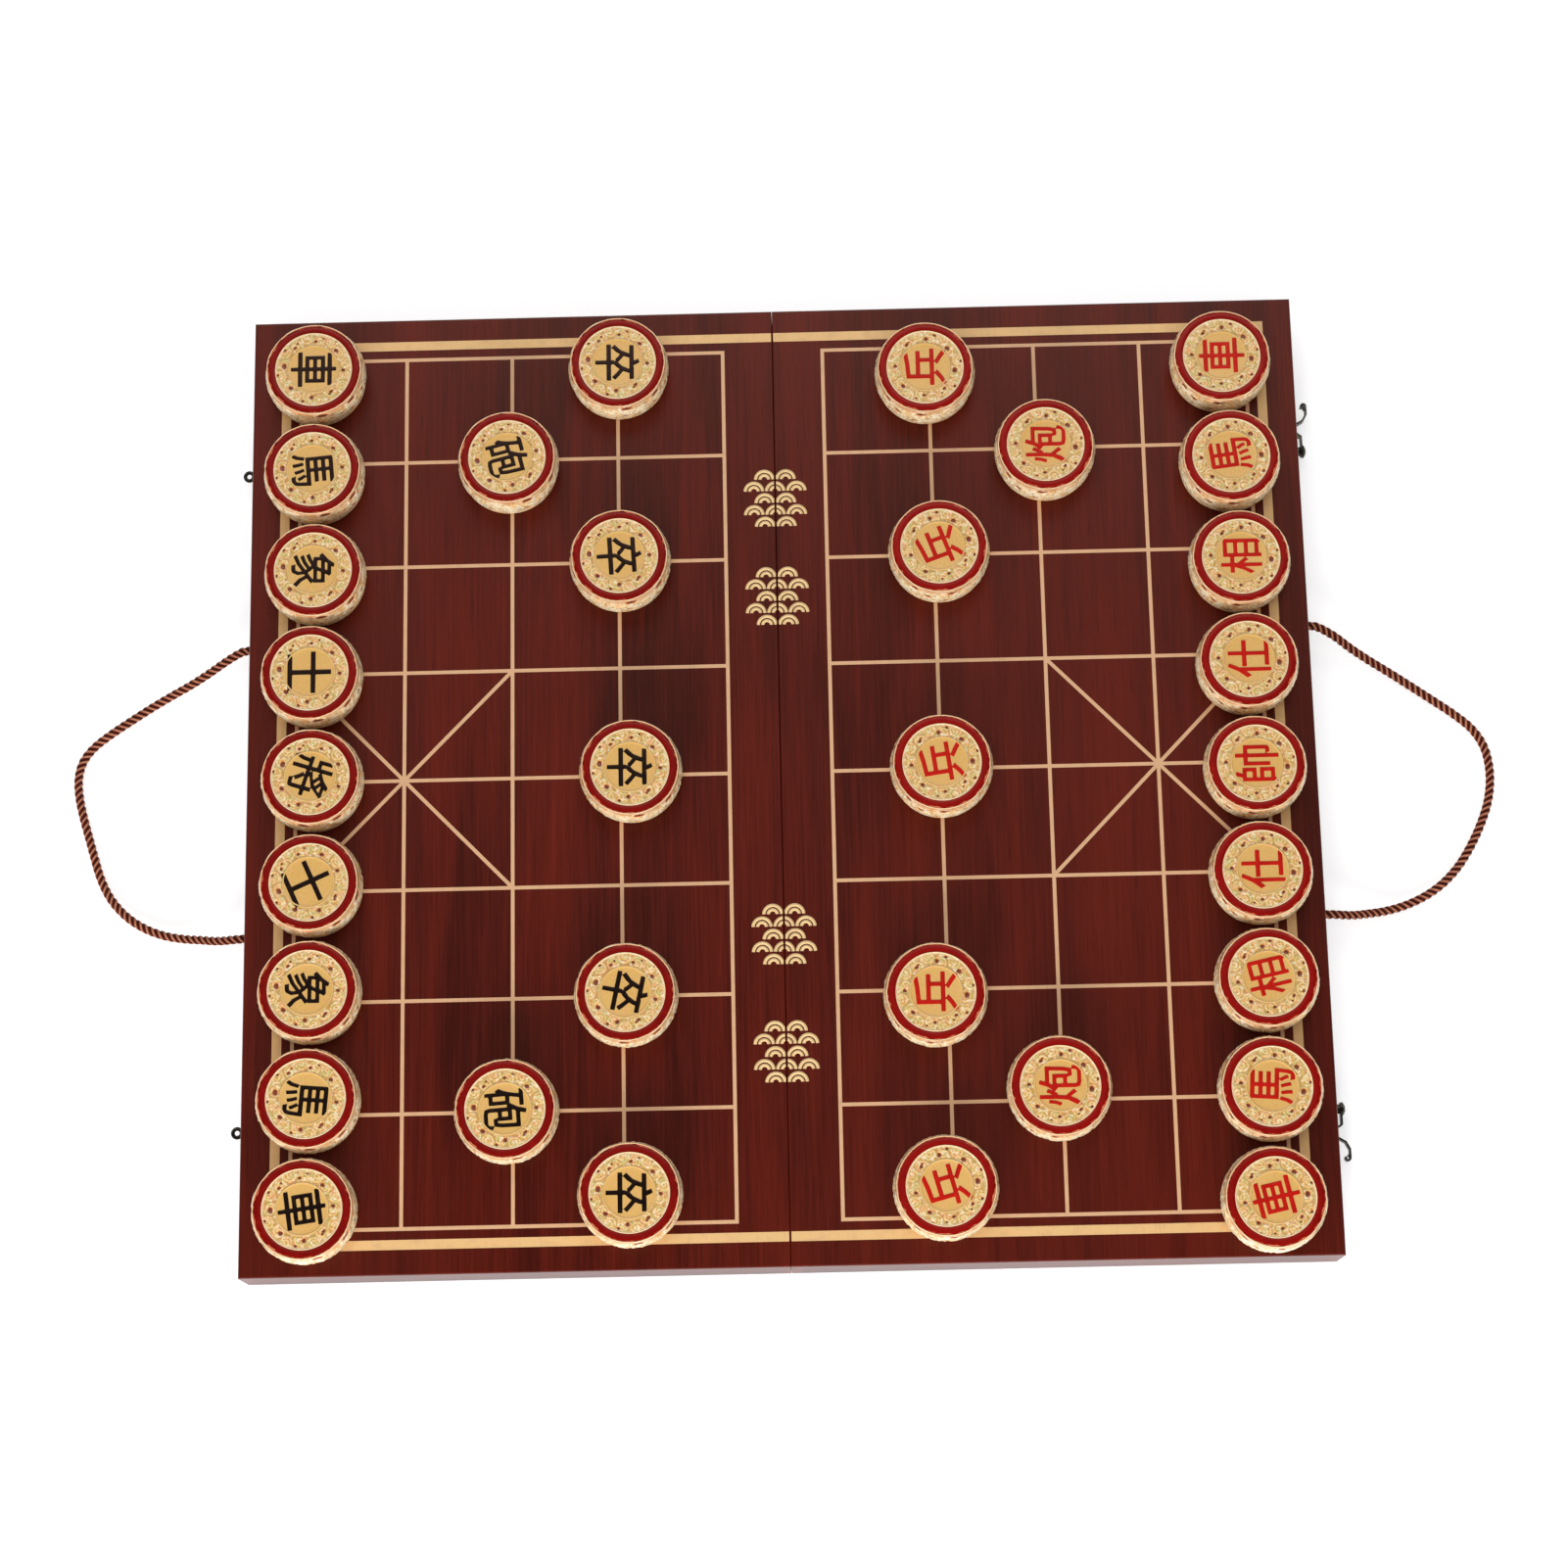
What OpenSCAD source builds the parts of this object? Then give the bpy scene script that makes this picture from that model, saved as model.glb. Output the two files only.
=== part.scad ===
// Folding xiangqi box. Two open trays are hinged along the middle seam. Laid open with the trays face
// down, their backs make the playing board. Millimetres. X runs from the dark army to the red army,
// Y from the near side to the far side, Z up. The origin is on the table, under the middle of the seam.

/* [Board] */
// Distance from one rank line to the next, along X
rank_pitch = 50; // [47:0.5:54]
// Distance from one file line to the next, along Y
file_pitch = 51.5; // [50.5:0.5:56]
// Width of the river between the two armies
river_width = 47.3; // [44:0.1:56]
// Bare wood from the last rank line to the end of the board
end_margin = 22.8; // [18:0.1:30]
// Bare wood from the last file line to the side of the board
side_margin = 20.5; // [17:0.5:30]
// Width of the thin grid lines
line_width = 1.7; // [1:0.1:2.5]
// Width of the broad border line
border_width = 4.4; // [3:0.1:6]
// Bare wood between the grid and the border line
border_gap = 4; // [2.5:0.1:6]
// Depth of the inlaid lines
inlay_depth = 0.3; // [0.2:0.1:0.8]

/* [Trays] */
// Height of one tray
tray_height = 30; // [28:1:50]
// Thickness of the playing panel
panel_thickness = 5; // [4:0.5:8]
// Thickness of the four walls
wall_thickness = 9; // [9:0.5:12]
// Roundover of the panel's upper edges
edge_radius = 1.2; // [0.6:0.1:2.5]
// Gap between the two trays at the seam
seam_gap = 0.2; // [0.1:0.1:0.6]
// Thickness of the felt lining
felt_thickness = 1; // [0.5:0.5:2]

/* [Pieces] */
// Widest diameter of a piece
piece_diameter = 47.4; // [40:0.2:48]
// Thickness of a piece
piece_height = 17; // [14:0.5:22]
// How much closer than the files the back row is set down
row_closing = 2.2; // [1:0.1:2.4]

/* [Hinges] */
// Distance of each hinge's middle from the middle of the board
hinge_offset = 120; // [80:5:150]
// Length of a hinge
hinge_length = 36; // [30:2:50]
// Radius of the hinge barrel
barrel_radius = 1.5; // [1.4:0.1:1.6]
// Thickness of a hinge leaf
leaf_thickness = 1; // [0.8:0.1:1.2]

/* [Latches] */
// Distance of each latch from the side of the board
latch_inset = 68.5; // [50:0.5:90]
// How far the hooks and the screw eyes stand out from the walls
latch_reach = 8.5; // [8.3:0.1:9.5]
// Distance from the hook's pivot to its notch
notch_distance = 11; // [10.5:0.5:13]
// Length of the hook past its pivot
hook_length = 24; // [23:0.5:27]

/* [Rope handles] */
// Diameter of the rope
rope_diameter = 4.2; // [3.6:0.1:4.6]
// Distance of each rope hole from the middle of the wall
rope_offset = 69; // [60:1:80]
// How far a handle lies out from its wall
rope_reach = 84; // [76:1:90]

/* [Hidden] */
$fn = 64;
margin = 1;

wood = [0.36, 0.15, 0.12];
gold = [0.86, 0.68, 0.48];
green = [0.22, 0.3, 0.22];
bronze = [0.3, 0.27, 0.22];
hemp = [0.45, 0.3, 0.2];
ivory = [0.88, 0.77, 0.5];

// The board's outer sizes, and its grid
half_length = river_width / 2 + 4 * rank_pitch + end_margin;
half_width = 4 * file_pitch + side_margin;
first_rank = river_width / 2;
last_rank = first_rank + 4 * rank_pitch;
last_file = 4 * file_pitch;
border_inside = line_width / 2 + border_gap;
border_outside = border_inside + border_width;

// Heights. The hinge pins lie in the plane where the two rims meet when the box is shut.
pin_height = barrel_radius;
rim_gap = 0.1;
rim_height = pin_height + rim_gap / 2;
top_height = rim_height + tray_height;
ceiling_height = top_height - panel_thickness;
inlay_floor = top_height - inlay_depth;

// Walls. The side walls' tongues sit in rabbets of the end and seam walls.
seam_x = seam_gap / 2;
seam_edge_radius = 0.4;
end_inside = half_length - wall_thickness;
side_inside = half_width - wall_thickness;
tongue_length = 4;
tongue_thickness = 5;

// Hinges
pin_radius = 0.7;
running_gap = 0.05;
knuckle_count = 5;
knuckle_gap = 0.15;
knuckle_pitch = hinge_length / knuckle_count;
barrel_room = barrel_radius + 0.25;
leaf_width = wall_thickness - 0.8;
screw_x = 5.2;
screw_pitch = hinge_length / 3;
screw_radius = 0.75;
screw_head_radius = 1.5;
screw_length = 8;
screw_tip = 1.5;

// Latches, measured outwards from the face of the end wall
latch_offset = half_width - latch_inset;
latch_height = pin_height + notch_distance / 2;
latch_screw_depth = 7;
eye_wire_radius = 0.9;
eye_ring_radius = 2;
eye_neck_radius = 0.85;
eye_centre = latch_reach - eye_ring_radius - eye_wire_radius;
hook_thickness = 0.9;
hook_radius = 3;
hook_inside = 4.6;
hook_end_play = 0.05;
hook_root_width = 4.2;
hook_tip_width = 3.4;
notch_inside = 1.4;
notch_radius = eye_neck_radius + 0.4;
notch_lip_radius = 3.2;
mouth_half_width = notch_radius - 0.15;
dip_half_length = 1.7;
ramp_length = 2.1;
flare_start = 2.5;
flare_end = 3.3;
flare_ease = 1.8;
curl_radius = 1.5;
pivot_radius = 1.2;
pivot_shank_radius = 1;
collar_radius = 2.2;
head_radius = 3.2;
head_height = 1.6;
head_dome = 4.4;

// Pieces
bulge_radius = 26;
piece_edge = 0.9;
slip_step = rank_pitch / 50;

// Ropes. The shut box lays one rope on the other, so each keeps to its own side of the rims' plane.
rope_radius = rope_diameter / 2;
rope_hole_radius = rope_radius + 0.2;
rope_exit_height = rim_height + (tray_height - panel_thickness) / 2;
rope_lie_height = pin_height + 0.2 + rope_radius;
rope_sides = 10;
knot_radius = 5.5;

// The handles' routes from the far hole to the near one. Each row is [percent of the reach out from the wall,
// percent of the way from hole to hole, percent of the drop from the holes to the table].
left_route = [
    [0, 0, 0], [7, 0, 5], [17, 3, 24], [26, 6, 50], [37, 10, 75], [48, 13, 92],
    [60, 17, 100], [71, 22, 100], [82, 26, 100], [92, 31, 100], [98, 36, 100], [100, 42, 100],
    [99, 49, 100], [96, 56, 100], [93, 63, 100], [89, 70, 100], [86, 77, 100], [80, 84, 100],
    [71, 90, 100], [61, 94, 100], [50, 97, 100], [39, 98, 92], [29, 99, 68], [18, 100, 35],
    [7, 100, 5], [0, 100, 0]
];
right_route = [
    [0, 0, 0], [7, 0, 5], [17, 3, 24], [26, 7, 50], [37, 11, 75], [48, 15, 92],
    [60, 20, 100], [71, 25, 100], [82, 30, 100], [92, 35, 100], [98, 41, 100], [100, 48, 100],
    [100, 55, 100], [98, 62, 100], [93, 69, 100], [87, 76, 100], [80, 83, 100], [70, 89, 100],
    [60, 93, 100], [49, 96, 100], [38, 98, 92], [27, 99, 68], [18, 100, 35],
    [7, 100, 5], [0, 100, 0]
];

// The armies. Each row is [name, ranks in from the end, file, slip along X, slip along Y]. Files count from the
// middle one. A slip is how far off its point the piece was set down, towards the river or the far side, in
// fiftieths of the rank pitch.
left_army = [
    ["chariot_far", 0, 4, 8, -1], ["horse_far", 0, 3, 8, -1], ["elephant_far", 0, 2, 9, -1],
    ["advisor_far", 0, 1, 8, -1], ["general", 0, 0, 9, -1], ["advisor_near", 0, -1, 9, -1],
    ["elephant_near", 0, -2, 9, -1], ["horse_near", 0, -3, 9, -1], ["chariot_near", 0, -4, 8, -1],
    ["cannon_far", 2, 3, -1, -4], ["cannon_near", 2, -3, -2, -1],
    ["soldier_1", 3, 4, 1, -10], ["soldier_2", 3, 2, 1, -2], ["soldier_3", 3, 0, 5, 0],
    ["soldier_4", 3, -2, 2, -1], ["soldier_5", 3, -4, 3, 12]
];
right_army = [
    ["chariot_far", 0, 4, 13, -5], ["horse_far", 0, 3, 11, -5], ["elephant_far", 0, 2, 9, -5],
    ["advisor_far", 0, 1, 8, -5], ["general", 0, 0, 7, -5], ["advisor_near", 0, -1, 7, -5],
    ["elephant_near", 0, -2, 7, -5], ["horse_near", 0, -3, 8, -5], ["chariot_near", 0, -4, 9, -5],
    ["cannon_far", 2, 3, -3, -4], ["cannon_near", 2, -3, 2, 4],
    ["soldier_1", 3, 4, 2, -16], ["soldier_2", 3, 2, -2, -1], ["soldier_3", 3, 0, 0, -1],
    ["soldier_4", 3, -2, 6, -4], ["soldier_5", 3, -4, 4, 12]
];

function dark(row) = str("dark_", row[0]);
function red(row) = str("red_", row[0]);

// Placing. Every sub-part is drawn as its right-hand one, and mirrored to the left.

module on_left() {
    mirror([1, 0, 0]) children();
}

module in_front() {
    mirror([0, 1, 0]) children();
}

module on_both_sides(offset) {
    for (side = [-1, 1]) translate([0, side * offset, 0]) children();
}

// On the face of the end wall, with X outwards
module at_latches() {
    on_both_sides(latch_offset) translate([half_length, 0, latch_height]) children();
}

// On the rim, with Z into the wall
module at_hinge_screws() {
    on_both_sides(hinge_offset) for (place = [-1, 0, 1])
        translate([screw_x, place * screw_pitch, rim_height]) children();
}

// A block from one X, Y and Z to the next
module block(x, y, z) {
    translate([x[0], y[0], z[0]]) cube([x[1] - x[0], y[1] - y[0], z[1] - z[0]]);
}

// A cylinder along X from the origin
module rod_x(radius, length) {
    rotate([0, 90, 0]) cylinder(r = radius, h = length);
}

// A cylinder along Y from the origin
module rod_y(radius, length) {
    rotate([-90, 0, 0]) cylinder(r = radius, h = length);
}

// Playing surface

module thin_line(from, to) {
    run = to - from;
    translate(from) rotate(atan2(run[1], run[0])) translate([-line_width / 2, -line_width / 2])
        square([norm(run) + line_width, line_width]);
}

module grid_lines() {
    for (rank = [0:4]) {
        x = first_rank + rank * rank_pitch;
        thin_line([x, -last_file], [x, last_file]);
    }
    for (file = [-4:4]) thin_line([first_rank, file * file_pitch], [last_rank, file * file_pitch]);
    for (side = [-1, 1])
        thin_line([last_rank - 2 * rank_pitch, -side * file_pitch], [last_rank, side * file_pitch]);
}

// The rectangle of the grid, grown by a border's distance
module grown_grid(start, growth) {
    translate([start, -last_file - growth]) square([last_rank + growth - start, 2 * (last_file + growth)]);
}

module border_line() {
    start = seam_x + seam_edge_radius;
    difference() {
        grown_grid(start, border_outside);
        grown_grid(start - margin, border_inside);
    }
}

module inlay() {
    color(gold) translate([0, 0, inlay_floor]) linear_extrude(inlay_depth) {
        grid_lines();
        border_line();
    }
}

// A slab's section from one side to the other, with its two upper corners rounded
module slab_section(low, high, low_radius, high_radius) {
    top = panel_thickness;
    translate([low, 0]) square([high - low, top - max(low_radius, high_radius)]);
    translate([low + low_radius, 0]) square([high - low - low_radius - high_radius, top]);
    translate([low, 0]) square([low_radius, top - low_radius]);
    translate([low + low_radius, top - low_radius]) circle(low_radius);
    translate([high - high_radius, top - high_radius]) circle(high_radius);
}

module panel() {
    color(wood) difference() {
        translate([0, 0, ceiling_height]) intersection() {
            translate([0, half_width, 0]) rotate([90, 0, 0]) linear_extrude(2 * half_width)
                slab_section(seam_x, half_length, seam_edge_radius, edge_radius);
            rotate([90, 0, 90]) linear_extrude(half_length)
                slab_section(-half_width, half_width, edge_radius, edge_radius);
        }
        translate([0, 0, inlay_floor]) linear_extrude(inlay_depth + margin) {
            grid_lines();
            border_line();
        }
    }
}

// Tray walls

module rabbets(from, to) {
    for (side = [0, 1]) mirror([0, side, 0])
        block([from, to], [half_width - tongue_thickness, half_width + margin],
              [rim_height - margin, ceiling_height + margin]);
}

module end_wall(latch_shank_radius) {
    color(wood) difference() {
        block([end_inside, half_length], [-half_width, half_width], [rim_height, ceiling_height]);
        rabbets(end_inside - margin, end_inside + tongue_length);
        on_both_sides(rope_offset) translate([end_inside - margin, 0, rope_exit_height])
            rod_x(rope_hole_radius, wall_thickness + 2 * margin);
        at_latches() translate([-latch_screw_depth, 0, 0])
            rod_x(latch_shank_radius, latch_screw_depth + margin);
    }
}

module seam_wall() {
    ends = [-hinge_length / 2, hinge_length / 2];
    low = rim_height - margin;
    color(wood) difference() {
        block([seam_x, wall_thickness], [-half_width, half_width], [rim_height, ceiling_height]);
        rabbets(wall_thickness - tongue_length, wall_thickness + margin);
        on_both_sides(hinge_offset) {
            block([0, leaf_width], ends, [low, rim_height + leaf_thickness]);
            block([0, barrel_room], ends, [low, pin_height + barrel_room]);
        }
        at_hinge_screws() cylinder(r = screw_radius, h = screw_length);
    }
}

// The side walls run between the other two, and their tongues fill the rabbets
module side_wall() {
    color(wood) {
        block([wall_thickness, end_inside], [side_inside, half_width], [rim_height, ceiling_height]);
        block([wall_thickness - tongue_length, end_inside + tongue_length],
              [half_width - tongue_thickness, half_width], [rim_height, ceiling_height]);
    }
}

module felt_lining() {
    color(green) block([wall_thickness, end_inside], [-side_inside, side_inside],
                       [ceiling_height - felt_thickness, ceiling_height]);
}

// Hinges

// A pair of leaves, each with every second knuckle from the first one on. A leaf's root is cut back beside
// the other leaf's knuckles.
module hinge_leaves(first_knuckle, bore_radius) {
    reach = knuckle_pitch - knuckle_gap;
    leaf_top = rim_height + leaf_thickness;
    color(bronze) difference() {
        on_both_sides(hinge_offset) {
            block([barrel_room, leaf_width], [-hinge_length / 2, hinge_length / 2], [rim_height, leaf_top]);
            for (knuckle = [first_knuckle:2:knuckle_count - 1]) {
                start = knuckle * knuckle_pitch + (knuckle_gap - hinge_length) / 2;
                block([0, barrel_room + margin], [start, start + reach], [rim_height, leaf_top]);
                translate([0, start, pin_height]) rod_y(barrel_radius, reach);
            }
        }
        on_both_sides(hinge_offset) translate([0, -hinge_length / 2 - margin, pin_height])
            rod_y(bore_radius, hinge_length + 2 * margin);
        at_hinge_screws() {
            translate([0, 0, -margin]) cylinder(r = screw_radius, h = leaf_thickness + 2 * margin);
            screw_head();
        }
    }
}

module hinge_pins() {
    color(bronze) on_both_sides(hinge_offset) translate([0, -hinge_length / 2, pin_height])
        rod_y(pin_radius, hinge_length);
}

module screw_head() {
    cylinder(r1 = screw_head_radius, r2 = screw_radius, h = screw_head_radius - screw_radius);
}

module hinge_screws() {
    slot_width = 0.4;
    slot_depth = 0.35;
    color(bronze) at_hinge_screws() difference() {
        union() {
            screw_head();
            cylinder(r = screw_radius, h = screw_length - screw_tip);
            translate([0, 0, screw_length - screw_tip]) cylinder(r1 = screw_radius, r2 = 0.1, h = screw_tip);
        }
        block([-screw_head_radius, screw_head_radius], [-slot_width / 2, slot_width / 2],
              [-margin, slot_depth]);
    }
}

// Latches

// A wood screw's shank that runs into the wall and ends in a point
module latch_shank(radius) {
    point = 2;
    rotate([0, -90, 0]) {
        cylinder(r = radius, h = latch_screw_depth - point);
        translate([0, 0, latch_screw_depth - point]) cylinder(r1 = radius, r2 = 0.1, h = point);
    }
}

module screw_eyes() {
    color(bronze) at_latches() {
        latch_shank(eye_neck_radius);
        difference() {
            rod_x(eye_neck_radius, eye_centre - eye_ring_radius);
            translate([eye_centre, 0, -margin]) cylinder(r = eye_ring_radius, h = 2 * margin);
        }
        translate([eye_centre, 0, 0]) rotate_extrude() translate([eye_ring_radius, 0])
            circle(eye_wire_radius);
    }
}

// A slotted domed head, standing up from its flat underside
module pivot_head() {
    slot_depth = 0.6;
    slot_width = 0.7;
    difference() {
        intersection() {
            cylinder(r = head_radius, h = head_height);
            translate([0, 0, head_height - head_dome]) sphere(head_dome);
        }
        block([-head_dome, head_dome], [-slot_width / 2, slot_width / 2],
              [head_height - slot_depth, head_height + margin]);
    }
}

// The hook's pivot: a collar against the wall, a shoulder that the hook turns on, and the head
module hook_pivots() {
    shoulder = hook_inside + hook_thickness + hook_end_play;
    color(bronze) at_latches() {
        latch_shank(pivot_shank_radius);
        rod_x(collar_radius, hook_inside - hook_end_play);
        rod_x(pivot_radius, shoulder);
        translate([shoulder, 0, 0]) rotate([0, 90, 0]) pivot_head();
    }
}

// How far one face of a bent sheet stands from its middle line at a point, mitred at the bends
function miter(points, i) =
    let (before = unit(points[max(i, 1)] - points[max(i, 1) - 1]),
         next = min(i + 1, len(points) - 1),
         after = unit(points[next] - points[next - 1]),
         square_to_before = [-before[1], before[0]],
         way = unit(square_to_before + [-after[1], after[0]]))
    way / (way * square_to_before);

// A sheet bent along a line of points
module bent_sheet(points, thickness) {
    last = len(points) - 1;
    polygon([
        for (i = [0:last]) points[i] + thickness / 2 * miter(points, i),
        for (i = [last:-1:0]) points[i] - thickness / 2 * miter(points, i)
    ]);
}

// The hook's edge as seen from above, with X out from the wall and Y along the hook. It dips behind the
// screw eye's ring at the notch, then flares out to a curled finger tip.
module hook_edge() {
    level = hook_inside + hook_thickness / 2;
    dip = notch_inside + hook_thickness / 2;
    tail = latch_reach - hook_thickness / 2;
    curl_y = hook_length - curl_radius;
    dip_start = notch_distance - dip_half_length;
    dip_end = notch_distance + dip_half_length;
    bent_sheet([
        [level, -hook_radius - margin], [level, dip_start - ramp_length], [dip, dip_start], [dip, dip_end],
        [tail - flare_ease, dip_end + flare_start], [tail, dip_end + flare_start + flare_end], [tail, curl_y]
    ], hook_thickness);
    translate([latch_reach - curl_radius, curl_y]) difference() {
        circle(curl_radius);
        circle(curl_radius - hook_thickness);
        translate([-curl_radius, -curl_radius]) square([curl_radius, curl_radius * 0.6]);
    }
}

// The hook's outline in the plane that it swings in, lying along X. Its notch is an arc about the pivot, open
// on the side that leads when the latch shuts.
module hook_outline() {
    root = hook_root_width / 2;
    tip = hook_tip_width / 2;
    difference() {
        union() {
            circle(hook_radius);
            polygon([[0, -root], [hook_length, -tip], [hook_length, tip], [0, root]]);
            translate([notch_distance, 0]) circle(notch_lip_radius);
        }
        circle(pivot_radius + running_gap);
        translate([notch_distance, 0]) circle(notch_radius);
        intersection() {
            difference() {
                circle(notch_distance + mouth_half_width);
                circle(notch_distance - mouth_half_width);
            }
            translate([notch_distance - hook_radius, -2 * hook_radius])
                square([2 * hook_radius, 2 * hook_radius]);
        }
    }
}

module hook() {
    depth = 2 * hook_radius + 2 * margin;
    color(bronze) translate([half_length, latch_offset, latch_height]) intersection() {
        translate([0, 0, -depth / 2]) linear_extrude(depth) hook_edge();
        rotate([90, 0, 90]) linear_extrude(latch_reach + margin) hook_outline();
    }
}

// Rope handles

// A route in the board's frame. Both ends run on through their holes to the inside of the wall.
function rope_points(route) = [
    for (i = [-1:len(route)])
        let (row = route[min(max(i, 0), len(route) - 1)],
             through = i < 0 || i == len(route) ? wall_thickness : 0)
        [half_length + row[0] / 100 * rope_reach - through, rope_offset * (1 - row[1] / 50),
         rope_exit_height + row[2] / 100 * (rope_lie_height - rope_exit_height)]
];

function unit(v) = v / norm(v);

// The way that the rope runs at a point: straight in at both ends, else halfway between its two stretches
function heading(points, i) =
    i == 0 ? [1, 0, 0]
    : i == len(points) - 1 ? [-1, 0, 0]
    : unit(unit(points[i] - points[i - 1]) + unit(points[i + 1] - points[i]));

// One ring of the tube, square to the heading
function rope_ring(centre, way) =
    let (level = unit(cross([0, 0, 1], way)), up = cross(way, level))
    [for (s = [0:rope_sides - 1]) let (a = 360 * (s + 0.5) / rope_sides)
        centre + rope_radius * (cos(a) * level + sin(a) * up)];

module rope(route) {
    points = rope_points(route);
    last = len(points) - 1;
    n = rope_sides;
    corners = [for (i = [0:last]) each rope_ring(points[i], heading(points, i))];
    sides = [for (i = [0:last - 1]) for (s = [0:n - 1])
        [i * n + s, (i + 1) * n + s, (i + 1) * n + (s + 1) % n, i * n + (s + 1) % n]];
    ends = [[for (s = [0:n - 1]) s], [for (s = [0:n - 1]) last * n + n - 1 - s]];
    color(hemp) polyhedron(corners, concat(sides, ends));
}

// Stopper knots, cut flat where they bear on the inside of the wall
module knots() {
    reach = 2 * knot_radius;
    color(hemp) on_both_sides(rope_offset) translate([end_inside, 0, rope_exit_height])
        rotate([0, -90, 0]) rotate_extrude() intersection() {
            translate([0, 0.7 * knot_radius]) circle(knot_radius);
            square(reach);
        }
}

// Pieces

// Half of a piece's section: a bulged side between softened edges, a groove for the red ring, and a bead
// round the middle field
module piece_section() {
    widest = piece_diameter / 2;
    middle = piece_height / 2;
    bulge_x = widest - bulge_radius;
    face = bulge_x + sqrt(pow(bulge_radius, 2) - pow(middle - piece_edge, 2));
    groove_outside = 0.9 * widest;
    groove_inside = 0.78 * widest;
    groove_depth = 0.5;
    bead = 0.49 * widest;
    bead_half_width = 0.35;
    bead_height = 0.3;
    difference() {
        union() {
            intersection() {
                translate([bulge_x, middle]) circle(bulge_radius, $fn = 180);
                translate([0, piece_edge]) square([widest, piece_height - 2 * piece_edge]);
            }
            square([face - piece_edge, piece_height]);
            for (z = [piece_edge, piece_height - piece_edge]) translate([face - piece_edge, z])
                circle(piece_edge);
        }
        translate([groove_inside, piece_height - groove_depth])
            square([groove_outside - groove_inside, margin]);
        for (field = [[0, bead - bead_half_width], [bead + bead_half_width, groove_inside - 0.5]])
            translate([field[0], piece_height - bead_height]) square([field[1] - field[0], margin]);
    }
}

module piece() {
    color(ivory) rotate_extrude() piece_section();
}

module piece_at(row) {
    row_pitch = row[1] == 0 ? file_pitch - row_closing : file_pitch;
    translate([last_rank - row[1] * rank_pitch - row[3] * slip_step,
               row[2] * row_pitch + row[4] * slip_step, top_height]) piece();
}

on_left() panel();  // left_panel
on_left() end_wall(eye_neck_radius);  // left_end_wall
on_left() seam_wall();  // left_seam_wall
on_left() in_front() side_wall();  // left_front_wall
on_left() side_wall();  // left_back_wall
on_left() felt_lining();  // left_felt
on_left() inlay();  // left_inlay
panel();  // right_panel
end_wall(pivot_shank_radius);  // right_end_wall
seam_wall();  // right_seam_wall
in_front() side_wall();  // right_front_wall
side_wall();  // right_back_wall
felt_lining();  // right_felt
inlay();  // right_inlay
on_left() rope(left_route);  // left_rope
rope(right_route);  // right_rope
on_left() knots();  // left_knots
knots();  // right_knots
on_left() screw_eyes();
hook_pivots();
hook();  // back_hook
in_front() hook();  // front_hook
on_left() hinge_leaves(0, pin_radius);  // left_hinge_leaves
hinge_leaves(1, pin_radius + running_gap);  // right_hinge_leaves
hinge_pins();
on_left() hinge_screws();  // left_hinge_screws
hinge_screws();  // right_hinge_screws
for (row = left_army) on_left() piece_at(row);
for (row = right_army) piece_at(row);
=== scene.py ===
"""Looks of a folding xiangqi box, laid open as a board with its thirty-two pieces set out."""

import math
from functools import partialmethod

import bmesh
import bpy
from bpy.props import FloatProperty, FloatVectorProperty, IntProperty, PointerProperty
from mathutils import Matrix, Vector


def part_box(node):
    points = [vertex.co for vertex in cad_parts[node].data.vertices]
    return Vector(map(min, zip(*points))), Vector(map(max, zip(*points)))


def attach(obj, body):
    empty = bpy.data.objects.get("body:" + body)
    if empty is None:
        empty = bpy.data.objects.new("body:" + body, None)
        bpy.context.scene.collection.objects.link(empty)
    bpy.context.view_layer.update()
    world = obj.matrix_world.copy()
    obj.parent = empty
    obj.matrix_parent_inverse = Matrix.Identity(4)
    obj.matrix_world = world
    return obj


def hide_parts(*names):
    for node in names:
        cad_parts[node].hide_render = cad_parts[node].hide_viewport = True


bl_info = {
    "name": "Folding Xiangqi Box",
    "version": (1, 0, 0),
    "blender": (4, 5, 0),
    "location": "View3D > Sidebar > Xiangqi",
    "description": "Dresses the folding board, its rope handles, latches and carved pieces",
    "category": "Object",
}

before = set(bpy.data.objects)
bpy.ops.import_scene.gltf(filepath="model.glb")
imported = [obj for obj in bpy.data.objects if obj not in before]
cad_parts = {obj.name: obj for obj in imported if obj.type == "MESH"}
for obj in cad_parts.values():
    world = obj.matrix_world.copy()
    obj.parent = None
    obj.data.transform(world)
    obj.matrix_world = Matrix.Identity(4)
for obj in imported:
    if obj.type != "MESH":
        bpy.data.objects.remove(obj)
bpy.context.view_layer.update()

MM = 0.001
TAU = math.tau

# Camera, fitted to the board's lines in the photograph
CAMERA_PLACE = (0.01692, -0.37390, 1.53216)
CAMERA_TURN = (0.2404, 0.0153, -0.0200)
FLOOR_HALF = 6

# The box, as the frame has it, in metres
HALF_LENGTH = 0.24645
TOP = 0.03155
WALL = 0.009
SEAM_EDGE = 0.0005
BORDER_FILE = 0.209
BORDER_RANK = 0.22665
RIVER_HALF_WIDTH = 0.021
RIVER_HALF_LENGTH = 0.19

# The river's waves: the middles of the clusters, the waves in each row of one, and their thickness
WAVE_CLUSTERS = (0.1328, 0.0848, -0.0758, -0.1298)
WAVE_ROWS = (2, 3, 2, 3, 2)
WAVE_THICKNESS = 0.00016

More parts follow.
